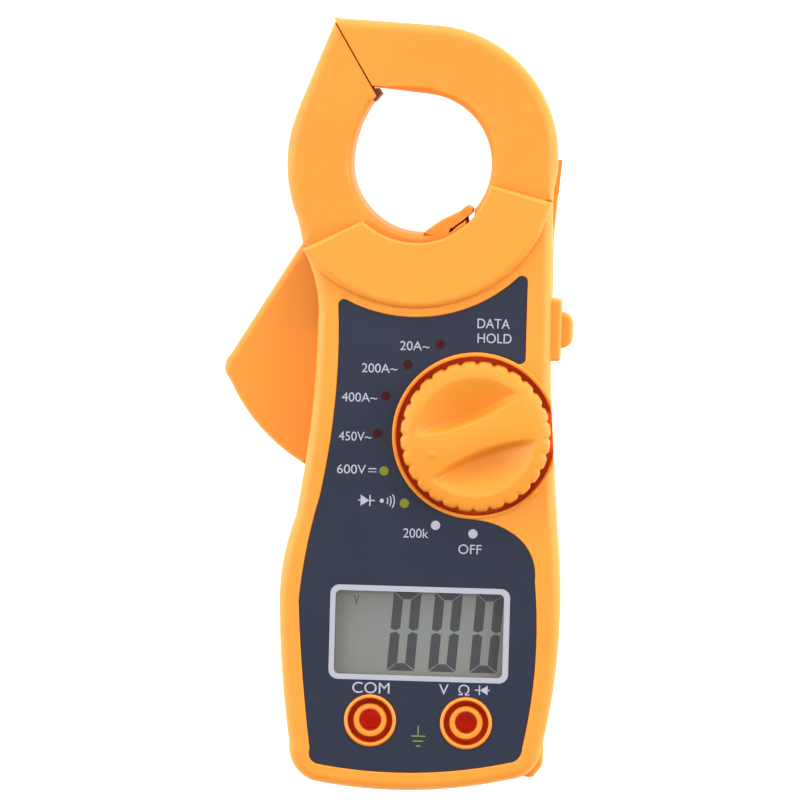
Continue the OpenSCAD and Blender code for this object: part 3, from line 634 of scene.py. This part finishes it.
def front_case():
    shell = solid("front", front_outline, [(0.3, CASE_SPLIT), (0, CASE_SPLIT + 0.3)]
                  + fillet(CASE_SPLIT + 0.3, FACE_Z, 0, 2.1)[1:])
    guard = solid("guard", rect(21, 26.3, BUTTON_Y - 6.1, BUTTON_Y + 6.1, 0.7), fillet(12.6, 22, 0.6, 0.6, 5))
    shell = add(shell, raised_collar(), guard)
    shell = cut(shell, slab(inset(front_outline, WALL), CASE_SPLIT - 1, FACE_Z - WALL),
                slab(inset(collar_outline, WALL), FACE_Z - WALL - 2, COLLAR_Z - WALL),
                slab(jaw_passage, CASE_SPLIT - 1, JAW_HI + JAW_PLAY),
                block(*TRIGGER_ROOM, CASE_SPLIT - 1, TRIG_HI + 0.5))
    shell = add(shell, knob_rim(), *[socket_sleeve(m) for m in SOCKETS])
    ceiling = FACE_Z - WALL
    shell = posts(shell, CASE_SCREWS, 2.6, CASE_SPLIT, ceiling + 0.1, PILOT_R, ceiling)
    shell = posts(shell, BOARD_SCREWS, 2.2, BOARD_TOP, ceiling + 0.1, PILOT_R, ceiling)
    shell = posts(shell, ROOT_SCREWS, 2.4, JAW_HI, ceiling + 0.1, PILOT_R)
    shell = posts(shell, [PIVOT], 3.2, JAW_HI + JAW_PLAY, COLLAR_Z - WALL + 0.1, PIN_R)
    shell = cut(shell, label_recess(), slab(display(16.9, 8.8, 1.2), 0, HIGH),
                slab(display(17.9, 9.5, 1.9), LABEL_LO - 1.2, HIGH))
    shell = cut(shell, knob_well(), rod(KNOB_C, 3.5, 18, HIGH))
    shell = cut(shell, block(18, 21.9, BUTTON_Y - 5, BUTTON_Y + 5, 13, 21.8),
                block(21.8, 30, BUTTON_Y - 3.9, BUTTON_Y + 3.9, BUTTON_Z - 3.4, BUTTON_Z + 3.4))
    for m in SOCKETS:
        shell = cut(shell, socket_groove(m), socket_bore(m))
    return shell


def in_gap(c, normal):
    """Faces of the knob well and the socket grooves, painted deep red with a faint glow: painted shade and
    painted light through the orange plastic
    """
    if c[2] < 17.5 or c[2] > 23.9:
        return False
    if math.dist(c[:2], KNOB_C) < WELL_R + 0.02:
        return (c[0] - KNOB_C[0]) * normal.x + (c[1] - KNOB_C[1]) * normal.y < 0.5

    def at_socket(r):
        sleeve_top = c[2] > 22.9 and 2.1 < r < 3.4 and normal.z > 0.2
        return r < 4.47 and not sleeve_top
    return any(at_socket(math.dist(c[:2], m)) for m in SOCKETS)


# ---------------- rear case

def sunk(at, r, z, chamfer=0.35, top=HIGH):
    """Cutter for a screw: its head's recess from the back up to z, then its shank's hole"""
    return turned("sunk", at, [(0, -1), (r + chamfer, -1), (r + chamfer, 0), (r, chamfer), (r, z),
                               (SHANK_R, z), (SHANK_R, top), (0, top)], 40)


def cord_lug():
    outline = rounded([(16, -45), (19, -52.1), (22.9, -52.6), (24.9, -49.8), (24.9, -45.6), (20, -42)],
                      {1: 0, 2: 1.4, 3: 1.4})
    return solid("lug", outline, fillet(1, 9.4, 0.7, 0.9, 5))


def cord_eye():
    """Hole level across the lug's corner, at 45 degrees"""
    x, y = 21.95, -48.95
    eye = turned("eye", (x, y), [(0, -10), (1.1, -10), (1.1, 10), (0, 10)], 40)
    turn = Matrix.Rotation(math.radians(-45), 4, "Z") @ Matrix.Rotation(math.radians(90), 4, "X")
    return swung(eye, (x, y, 0), (x, y, 5.2), turn)


def battery_bay():
    """Walls and roof of the bay that holds the cells"""
    outside = cut(slab(inset(rear_outline, -5), CASE_SPLIT, HIGH),
                  slab(inset(rear_outline, WALL + 0.1), 0, HIGH + 10))
    return cut(block(-25.8, 25.6, -31.4, -5.2, 1, 14.2), outside, block(-24.6, 24.4, -30, -6.6, 0, 13.2))


def rear_case():
    shell = solid("rear", rear_outline, fillet(0, CASE_SPLIT - 0.3, 2.0, 0) + [(0.3, CASE_SPLIT)])
    shell = add(shell, cord_lug())
    shell = cut(shell, slab(inset(rear_outline, WALL), WALL, HIGH),
                slab(jaw_passage, JAW_LO - JAW_PLAY, HIGH), block(*TRIGGER_ROOM, TRIG_LO - 0.5, HIGH))
    shell = add(shell, battery_bay(), *[rod(at, 3.2, 1, CASE_SPLIT - 0.05) for at in CASE_SCREWS],
                *[rod(at, 2.4, 1, JAW_LO) for at in ROOT_SCREWS],
                rod(DOOR_SCREW, 2.6, 1.6, 13.2), rod(PIVOT, 3.2, 1, JAW_LO - JAW_PLAY))
    shell = cut(shell, *[sunk(at, 2.3, 3.6) for at in CASE_SCREWS],
                *[sunk(at, 2.3, 2.2) for at in ROOT_SCREWS],
                block(-24.6, 24.4, -30, -6.6, -1, WALL + 1), block(-6, 6, -7, -0.8, -1, 1.7),
                rod(DOOR_SCREW, PILOT_R, -1, 12.2, 24), rod(PIVOT, PIN_R, 1.2, HIGH, 32))
    return cut(shell, cord_eye())


# ---------------- jaws

def core_room(a0, a1, w0, w1):
    """Cutters for the iron ring from angle a0 to a1, and for its winding from w0 to w1"""
    out = []
    for r0, r1, z0, z1, s0, s1 in ((CORE_R - 2.05, CORE_R + 2.05, JAW_SPLIT - 4.05, JAW_SPLIT + 4.05, a0, a1),
                                   (CORE_R - 3.4, 24, JAW_LO + 1.8, JAW_HI - 1.8, w0, w1)):
        out.append(slab(arc(CORE_C, r1, s0, s1) + arc(CORE_C, r0, s1, s0), z0, z1))
    return out


def ring_weights(outline, sharp):
    """How far each point's edge rounding reaches: the window's side is tighter than the outside"""
    out = []
    for x, y in outline:
        w = 0.55 if math.dist((x, y), BORE_C) < BORE_R + 2.2 else 1.0
        out.append(0.25 if sharp(x, y) else w)
    n = len(out)
    out = [sum(out[(i + k) % n] for k in range(-3, 4)) / 7 for i in range(n)]
    # the window's end of the tip's split is sharp
    near = [math.dist(p, (-11.3, 84.3)) for p in outline]
    return [0.2 if d < 1.6 or (d < 7.5 and p[1] > 85.4) else w for w, d, p in zip(out, near, outline)]


def jaw_screw_holes(places, low, pilot_top):
    """Cutters for a jaw's screws: each head's recess in its underside, and a pilot hole above it"""
    out = []
    for at in places:
        out += [rod(at, 2.2, 0, low(at) + 2.6), rod(at, PILOT_R, 0, pilot_top, 24)]
    return out


def fixed_jaw():
    jaw = solid("fixed", fixed_ring, fillet(JAW_LO, JAW_HI, 1.0, 2.3, 8),
                ring_weights(fixed_ring, lambda x, y: y < 67 and x > 10))
    left = cut(block(-90, -2, 0, 160, -10, HIGH), half_plane(1))
    jaw = cut(jaw, left, through(PIVOT, BOSS_R + 0.4, 64))
    below_joint = placed(rect(0, 25.5, -120, JAW_GAP), CORE_C, JOINT_ANGLE)
    return cut(jaw, slab(below_joint, 0, HIGH), slab(inset(lip_outline, -JAW_PLAY), 0, HIGH),
               *[through(at, SHANK_R, 24) for at in ROOT_SCREWS],
               *core_room(JOINT_ANGLE - 2, SPLIT_ANGLE + 8, -3, 88),
               *jaw_screw_holes(FIXED_SCREWS, lambda at: JAW_LO, JAW_HI - 1.5))


def moving_jaw():
    ring = solid("moving", moving_ring, fillet(JAW_LO, JAW_HI, 1.0, 2.3, 8),
                 ring_weights(moving_ring, lambda x, y: x > 0 or (x > -22 and y < 56)))
    ring = cut(ring, cut(block(-60, 60, BORE_C[1] - 1, 160, -10, HIGH), half_plane(-1)))
    plate = solid("plate", trigger_outline, fillet(TRIG_LO, TRIG_HI, 1.2, 1.5, 6))
    jaw = add(ring, plate, rod(PIVOT, BOSS_R, JAW_LO, JAW_HI, 64),
              solid("lip", lip_outline, fillet(JAW_LO, JAW_HI, 0.25, 0.25, 3)))
    return cut(jaw, through(PIVOT, 1.55, 32), rod(PIVOT, 4.3, 17, HIGH, 48),
               slab(ribbon(lip_slot, 0.36), SLOT_LO, HIGH), rod((4.0, 57.65), 0.36, SLOT_LO, HIGH, 24),
               *core_room(SPLIT_ANGLE - 8, 360 + JOINT_ANGLE + 2, 142, 230),
               *jaw_screw_holes(MOVING_SCREWS, lambda at: JAW_LO if at[1] > 80 else TRIG_LO, TRIG_HI - 1))


def copy_of(obj):
    new = obj.copy()
    new.data = obj.data.copy()
    bpy.context.scene.collection.objects.link(new)
    return new


def halves(jaw, name, body):
    """Front and rear mouldings of a jaw; the front one's face at the tip's split is painted deep red with a
    faint glow, painted shade for the gap between the jaws
    """
    rear = cut(copy_of(jaw), block(-120, 120, -120, 160, JAW_SPLIT, 80))
    front = cut(jaw, block(-120, 120, -120, 160, -80, JAW_SPLIT))
    t = math.radians(SPLIT_ANGLE - 90)
    across = Vector((math.cos(t), math.sin(t), 0))

    def at_split(c, normal):
        from_line = Vector((c[0] - BORE_C[0], c[1] - BORE_C[1], 0)).dot(across) + SPLIT_SHIFT
        return c[1] > 80 and abs(normal.dot(across)) > 0.98 and abs(from_line) < 0.3
    piece(front, name + "_front_shell", body, "jaw_orange", replaces=(name + "_front",))
    # painted shade and glow on the face at the tip's split
    paint(front, "painted_gap_shade", at_split)
    piece(rear, name + "_rear_shell", body, "jaw_orange", replaces=(name + "_rear",))


def core_tip():
    """The dark end of the core's insulation, seen at the window's side of the tip's split"""
    tip = solid("tip", [(-12.4, 83.1), (-11.9, 82.5), (-10.6, 84.1), (-11.4, 85.2), (-12.3, 85.15)],
                fillet(JAW_LO + 2.4, JAW_HI - 1.2, 0.1, 0.1, 2))
    piece(tip, "core_tip", "moving_jaw", "core_dark")


# ---------------- range knob

def knob():
    """The knob's body: a toothed skirt, a bevelled rim, and a scoop on each side of the grip bar"""
    teeth, per = 28, 10
    n = teeth * per
    grip = math.radians(GRIP_ANGLE)

    def notch(i, depth):
        t = abs((i % per) / per * 2 - 1)  # 1 in a notch, 0 on a tooth
        return depth * min(1.0, max(0.0, (t - 0.55) / 0.35)) ** 1.2

    rim = KNOB_TOP - 0.6
    rings = []
    for r, z in ((3.0, WELL_FLOOR + 0.35), (KNOB_R - 0.6, WELL_FLOOR + 0.35),
                 (KNOB_R - 0.15, WELL_FLOOR + 0.55), (KNOB_R, WELL_FLOOR + 1.0), (KNOB_R, 24.0),
                 (KNOB_R - 0.03, 27.0), (KNOB_R - 0.2, 27.5), (KNOB_R - 0.5, 27.8), (KNOB_R - 0.95, 28.02),
                 (KNOB_R - 1.5, 28.18), (KNOB_R - 2.1, 28.3), (KNOB_R - 2.7, rim - 0.03)):
        ring = []
        for i in range(n):
            a = 2 * math.pi * i / n
            deep = 0.5 if r > KNOB_R - 0.3 else 0.5 * max(0.0, (r - (KNOB_R - 2.0)) / 1.7)
            rr = r - notch(i, deep) if r > 5 else r
            ring.append((rr * math.cos(a), rr * math.sin(a), z))
        rings.append(ring)
    top_r = KNOB_R - 2.7

    def height(x, y):
        """Height of the top face at x along the grip bar and y across it"""
        u, v = abs(x), abs(y)
        half = 2.6 + 1.8 * (u / top_r) ** 2  # the bar is waisted
        reach = max(0.3, math.sqrt(max(0.0, top_r ** 2 - u * u)) - 0.25 - half)
        t = min(1.0, max(0.0, (v - half) / reach))
        ends = max(0.0, 1 - (u / 11.6) ** 2)
        wall = min(1.0, t * reach / 1.7)
        wall = wall * wall * (3 - 2 * wall)
        depth = 2.9 * ends * wall * math.cos(math.pi / 2 * t) ** 1.1
        crown = 0.45 * max(0.0, 1 - (v / (half + 0.8)) ** 2) * max(0.0, 1 - (u / top_r) ** 4)
        return rim + crown - depth

    steps = 34
    for k in range(steps):
        r = top_r * (1 - (k + 0.6) / (steps + 0.6))
        ring = []
        for i in range(n):
            a = 2 * math.pi * i / n
            x, y = r * math.cos(a - grip), r * math.sin(a - grip)
            ring.append((r * math.cos(a), r * math.sin(a), height(x, y)))
        rings.append(ring)
    verts = [v for ring in rings for v in ring]
    faces = []
    for low in range(0, (len(rings) - 1) * n, n):
        high = low + n
        faces += [(low + i, low + (i + 1) % n, high + (i + 1) % n, high + i) for i in range(n)]
    faces.append(tuple(range(n))[::-1])
    last = (len(rings) - 1) * n
    verts.append((0, 0, height(0, 0)))
    faces += [(last + i, last + (i + 1) % n, len(verts) - 1) for i in range(n)]
    verts = [(x + KNOB_C[0], y + KNOB_C[1], z) for x, y, z in verts]
    body = make("knob", verts, faces)
    body = add(body, rod(KNOB_C, 3.4, 18, WELL_FLOOR + 1.5))
    return cut(body, rod(KNOB_C, 1.02, 0, 23, 24))


# ---------------- printing

def text(words, x, y, width, cap, z=LABEL_HI):
    """Printed words, their middle at x, y; cap is the height of the whole string's box"""
    curve = bpy.data.curves.new("t", "FONT")
    curve.body = words
    curve.extrude = 0.5
    obj = bpy.data.objects.new("t", curve)
    bpy.context.scene.collection.objects.link(obj)
    bpy.context.view_layer.update()
    mesh = bpy.data.meshes.new_from_object(obj.evaluated_get(bpy.context.evaluated_depsgraph_get()))
    bpy.data.objects.remove(obj)
    xs, ys = [v.co.x for v in mesh.vertices], [v.co.y for v in mesh.vertices]
    sx, sy = width / (max(xs) - min(xs)), cap / (max(ys) - min(ys))
    mx, my = (max(xs) + min(xs)) / 2, (max(ys) + min(ys)) / 2
    for v in mesh.vertices:
        v.co = ((x + (v.co.x - mx) * sx) * MM, (y + (v.co.y - my) * sy) * MM,
                (z + (INK_LIFT if v.co.z > 0 else -INK_SINK)) * MM)
    out = bpy.data.objects.new("print", mesh)
    bpy.context.scene.collection.objects.link(out)
    return out


def flat(outline, z=LABEL_HI, lift=INK_LIFT):
    return slab(outline, z - INK_SINK, z + lift)


def bar(x0, y0, x1, y1, w):
    d = Vector((x1 - x0, y1 - y0)).normalized() * (w / 2)
    p = Vector((-d.y, d.x))
    a, b = Vector((x0, y0)), Vector((x1, y1))
    return flat([tuple(a - p), tuple(b - p), tuple(b + p), tuple(a + p)])


def diode(x, y, s):
    """Diode mark pointing to the left, s wide over all"""
    a, b, h = x - s * 0.2, x + s * 0.36, s * 0.33
    return [bar(x - s / 2, y, a - 0.14, y, 0.24), bar(a, y - h, a, y + h, 0.26),
            bar(b + 0.01, y, x + s / 2, y, 0.24), flat([(a + 0.14, y), (b, y - h), (b, y + h)])]


def mirrored(objs, x):
    """Each object mirrored left to right about x"""
    for o in objs:
        o.data.transform(Matrix.Translation(Vector((2 * x * MM, 0, 0))) @ Matrix.Scale(-1, 4, (1, 0, 0)))
        o.data.flip_normals()
    return objs


def sound(x, y):
    """Buzzer mark: a dot and three arcs"""
    out = [flat(circle((x, y), 0.42, 24))]
    for r in (1.1, 1.75, 2.4):
        out.append(flat(arc((x + 0.1, y), r + 0.12, -33, 33, 10) + arc((x + 0.1, y), r - 0.12, 33, -33, 10)))
    return out


def spots(places):
    """Range spots round the knob, numbered clockwise from OFF"""
    out = []
    for k in places:
        t = math.radians(270 - 22.5 * k)
        middle = (KNOB_C[0] + SPOT_R * math.cos(t), KNOB_C[1] + SPOT_R * math.sin(t))
        out.append(flat(circle(middle, 0.92, 36)))
    return out


def earth():
    return [bar(0.1, -40.8, 0.1, -42.85, 0.22), bar(-1.25, -42.86, 1.5, -42.86, 0.24),
            bar(-0.9, -43.85, 1.15, -43.85, 0.24), bar(-0.3, -44.85, 0.6, -44.85, 0.24)]


# each with its middle, width and height
WORDS = (("20A~", -2.55, 34.6, 5.8, 1.8), ("200A~", -9.4, 30.0, 7.0, 1.8), ("400A~", -13.2, 24.15, 7.0, 1.8),
         ("450V~", -13.9, 16.4, 6.5, 1.8), ("600V", -14.45, 9.85, 5.7, 1.8), ("200k", -1.4, -2.5, 5.0, 1.85),
         ("OFF", 9.4, -5.4, 4.6, 1.9), ("DATA", 12.9, 39.4, 6.4, 1.9), ("HOLD", 13.15, 36.5, 6.7, 1.9),
         ("COM", -9.5, -33.5, 7.4, 2.2), ("V", 4.95, -33.4, 1.9, 2.1), ("Ω", 8.95, -33.4, 2.2, 2.1))


def printing():
    white = [text(*word) for word in WORDS]
    white.append(bar(-11.1, 10.05, -9.5, 10.05, 0.24))  # direct current: a bar over three dashes
    white += [bar(-11.1 + 0.6 * k, 9.45, -10.7 + 0.6 * k, 9.45, 0.22) for k in range(3)]
    white += diode(12.6, -33.35, 2.9)
    white += mirrored(diode(-11.3, 3.75, 3.3), -11.3) + sound(-8.3, 3.75)
    for marks, name, mat in ((white + spots((0, 1)), "printed_marks", "print_white"),
                             (spots((2, 3)), "green_spots", "print_green"),
                             (spots((4, 5, 6, 7)), "red_spots", "print_red"),
                             (earth(), "earth_mark", "print_olive")):
        piece(join(marks), name, "root", mat, angle=40)


def digits():
    """Three slanted noughts, each of six segments, and a V, on the front of the LCD glass"""
    top, bottom, w, t, th, gap = -14.35, -30.15, 5.45, 1.9, 1.5, 0.13
    mid = (top + bottom) / 2
    lean = math.tan(math.radians(4.0))
    lower = [(0, bottom + 0.2), (t, bottom + th + gap), (t, mid - gap - 0.55), (t * 0.55, mid - gap),
             (0, mid - gap - 0.35)]
    upper = [(0, mid + gap + 0.35), (t * 0.55, mid + gap), (t, mid + gap + 0.55), (t, top - th - gap),
             (0, top - 0.2)]
    right = [[(w - x, y) for x, y in s][::-1] for s in (lower, upper)]
    foot = [(0.15, bottom), (w - 0.15, bottom), (w - t - 0.05, bottom + th), (t + 0.05, bottom + th)]
    head = [(t + 0.05, top - th), (w - t - 0.05, top - th), (w - 0.15, top), (0.15, top)]
    ink = []
    for x0 in (-6.55, 1.65, 9.85):
        for s in (lower, upper, *right, foot, head):
            ink.append(flat([(x0 + x + (y - bottom) * lean, y) for x, y in s], GLASS_HI, 0.03))
    ink.append(text("V", -12.9, -16.3, 1.0, 1.9, GLASS_HI))
    return join(ink)


# ---------------- knob, sockets, display, button and door

def knob_pointer():
    t = math.radians(GRIP_ANGLE)
    at = (KNOB_C[0] + 9.1 * math.cos(t), KNOB_C[1] + 9.1 * math.sin(t))
    spot = turned("spot", at, [(0, KNOB_TOP - 1), (0.9, KNOB_TOP - 1), (0.9, KNOB_TOP - 0.25),
                               (0.7, KNOB_TOP - 0.12), (0, KNOB_TOP - 0.05)], 36)
    piece(spot, "knob_pointer", "range_knob", "knob_orange")


def socket_tube(name, m):
    """Brass tube of a socket, its inside and rim painted deep red with a glow: painted shade and painted
    light in the socket's hole
    """
    tube = turned("tube", m, [(0, 4.6), (2.42, 4.6), (2.42, 14.4), (3.4, 14.4), (3.4, 15.6), (2.42, 15.6),
                              (2.42, TUBE_TOP - 0.1), (2.32, TUBE_TOP), (2.12, TUBE_TOP),
                              (2.02, TUBE_TOP - 0.1), (2.02, 5.8), (1.8, 5.6), (0, 5.6)], 48)

    def inside(c, normal):
        r = math.dist(c[:2], m)
        return r < 2.05 or (normal.z > 0.9 and r < 2.3)
    # painted shade and glow inside the tube
    paint(piece(tube, name + "_tube", "root", "brass", replaces=(name,)), "socket_glow", inside)


def face_label():
    label = solid("label", label_outline, [(0, LABEL_LO), (0, LABEL_HI - 0.08), (0.08, LABEL_HI)])
    label = cut(label, through(KNOB_C, RIM_R + 0.1, 144), *[through(m, 5.3, 72) for m in SOCKETS],
                slab(display(17.83, 9.43, 1.8), 0, HIGH))
    piece(label, "face_plate", "root", "label_slate", replaces=("face_label",))


def display_pieces():
    x, y = DISPLAY_C
    lens = solid("lens", display(17.8, 9.4, 1.8), fillet(LABEL_LO - 1.15, LABEL_HI, 0.0, 0.12, 3))
    piece(lens, "lens", "root", "clear_lens", replaces=("display_window",))
    border = slab(display(17.8, 9.4, 1.8), LABEL_HI - 0.01, LABEL_HI + 0.015)
    border = cut(border, slab(rect(x - 16.75, x + 16.65, y - 8.35, y + 8.3, 1.0), 0, HIGH))
    piece(border, "lens_border", "root", "frame_lavender")
    glass = solid("glass", display(16.8, 8.7, 0.3), fillet(19.4, GLASS_HI, 0.1, 0.1, 2))
    piece(glass, "lcd_panel", "root", "lcd_grey", replaces=("lcd_glass",))
    piece(digits(), "lcd_segments", "root", "lcd_ink", angle=40)


def hold_cap():
    """Push button: its cap, the flange that keeps it in the case, and the stem to the switch"""
    outline = rounded([(21.2, BUTTON_Y - 3.6), (28.6, BUTTON_Y - 3.6), (28.6, BUTTON_Y + 3.6),
                       (21.2, BUTTON_Y + 3.6)], {1: 2.4, 2: 2.4})
    cap = solid("cap", outline, fillet(BUTTON_Z - 3.1, BUTTON_Z + 3.1, 0.8, 0.8, 5))
    flange = block(20.2, 21.3, BUTTON_Y - 4.5, BUTTON_Y + 4.5, BUTTON_Z - 3.9, BUTTON_Z + 3.9)
    stem = swung(rod((18.9, BUTTON_Y), 0.9, 0, 2, 24), (18.9, BUTTON_Y, 0), (18.9, BUTTON_Y, STEM_Z),
                 Matrix.Rotation(math.radians(90), 4, "Y"))
    piece(add(cap, flange, stem), "hold_cap", "hold_button", "case_orange", replaces=("hold_button",))


def bay_door():
    """Battery door: a plate with a tab for its screw, a rib round its inside and four finger grooves"""
    door = solid("door", rect(-24.4, 24.2, -29.8, -6.7, 0.6), [(0.25, 0), (0, 0.25), (0, 1.8)])
    tab = solid("tab", rect(-5.8, 5.8, -8, -1, 0.8), [(0.25, 0), (0, 0.25), (0, 1.6)])
    rib = cut(block(-24.2, 24, -29.6, -7, 1.5, 3), block(-23.3, 23.1, -28.7, -7.9, 1, 4))
    grooves = [solid("groove", rect(-7, 7, -27 + 1.6 * i, -26.2 + 1.6 * i, 0.35),
                     [(-0.15, -1), (-0.15, 0), (0, 0.3), (0, 0.4)]) for i in range(4)]
    door = cut(add(door, tab, rib), sunk(DOOR_SCREW, 2.2, 0.9, 0.3, 9), *grooves)
    piece(door, "bay_door", "battery_door", "case_orange", replaces=("battery_door",))


# ---------------- build

shell = piece(front_case(), "front_shell", "root", "case_orange", replaces=("front_case",))
# painted shade and glow on the knob well and socket grooves
paint(shell, "painted_gap_shade", in_gap)
piece(rear_case(), "rear_shell", "root", "case_orange", replaces=("rear_case",))
halves(fixed_jaw(), "fixed_jaw", "root")
halves(moving_jaw(), "moving_jaw", "moving_jaw")
piece(knob(), "knob_grip", "range_knob", "knob_orange", replaces=("dial_knob",), angle=50)
knob_pointer()
for name, m in zip(("socket_com", "socket_volt"), SOCKETS):
    socket_tube(name, m)
face_label()
printing()
display_pieces()
hold_cap()
bay_door()
core_tip()
for name, obj in nodes.items():
    obj.data.materials.clear()
    obj.data.materials.append(mats[SLOT_OF[name]])

# ---------------- stage, light and camera

FLOOR_HALF, FLOOR_Z = 3.0, -0.0003  # in metres; the floor is just under the meter's back


def pale_floor():
    mesh = bpy.data.meshes.new("floor")
    corners = ((-1, -1), (1, -1), (1, 1), (-1, 1))
    mesh.from_pydata([(x * FLOOR_HALF, y * FLOOR_HALF, FLOOR_Z) for x, y in corners], [], [(0, 1, 2, 3)])
    obj = bpy.data.objects.new("floor", mesh)
    bpy.context.scene.collection.objects.link(obj)
    paper = material("floor_paper", "F4F4F4", rough=0.9, rough_var=0.04, vary=0.004, vary_scale=3.0)
    shader = paper.node_tree.nodes["Principled BSDF"]
    shader.inputs["Emission Color"].default_value = (1, 1, 1, 1)
    shader.inputs["Emission Strength"].default_value = 0.75
    obj.data.materials.append(paper)
    return obj


floor = pale_floor()


def lamp(name, at, size, power):
    """Area lamp at a place in metres, aimed at the middle of the meter"""
    data = bpy.data.lights.new(name, "AREA")
    data.shape = "RECTANGLE"
    data.size, data.size_y = size
    data.energy = power
    obj = bpy.data.objects.new(name, data)
    obj.location = at
    obj.rotation_euler = (Vector((0, 0.02, 0.02)) - Vector(at)).to_track_quat("-Z", "Y").to_euler()
    bpy.context.scene.collection.objects.link(obj)


lamp("soft_top", (0.0, 0.45, 1.25), (1.2, 1.2), 3.4)
lamp("soft_left", (-0.95, 0.1, 0.5), (0.5, 1.2), 9.5)
lamp("soft_right", (0.95, 0.15, 0.38), (0.5, 1.2), 11.0)
lamp("soft_back", (0.0, 1.1, 0.4), (1.4, 0.5), 9.0)
world = bpy.data.worlds.new("world")
world.use_nodes = True
world.node_tree.nodes["Background"].inputs["Color"].default_value = (1, 1, 1, 1)
world.node_tree.nodes["Background"].inputs["Strength"].default_value = 0.4
bpy.context.scene.world = world
bpy.context.scene.view_settings.view_transform = "Standard"

TARGET = Vector((-5.2, 23.82, FACE_Z)) * MM
EYE = Vector((30.0, 85.0, 1020.0)) * MM
VIEW_W = 158.05 * MM  # width of the view at the meter's face
SENSOR, ROLL = 36.0, math.radians(1.48)
data = bpy.data.cameras.new("camera")
data.sensor_width = SENSOR
data.lens = SENSOR * (EYE - TARGET).length / VIEW_W
data.clip_start, data.clip_end = 0.05, 20
camera = bpy.data.objects.new("camera", data)
back = (EYE - TARGET).normalized()
up = Vector((-math.sin(ROLL), math.cos(ROLL), 0))
right = up.cross(back).normalized()
up = back.cross(right)
camera.matrix_world = Matrix.Translation(EYE) @ Matrix((right, up, back)).transposed().to_4x4()
bpy.context.scene.collection.objects.link(camera)
bpy.context.scene.camera = camera
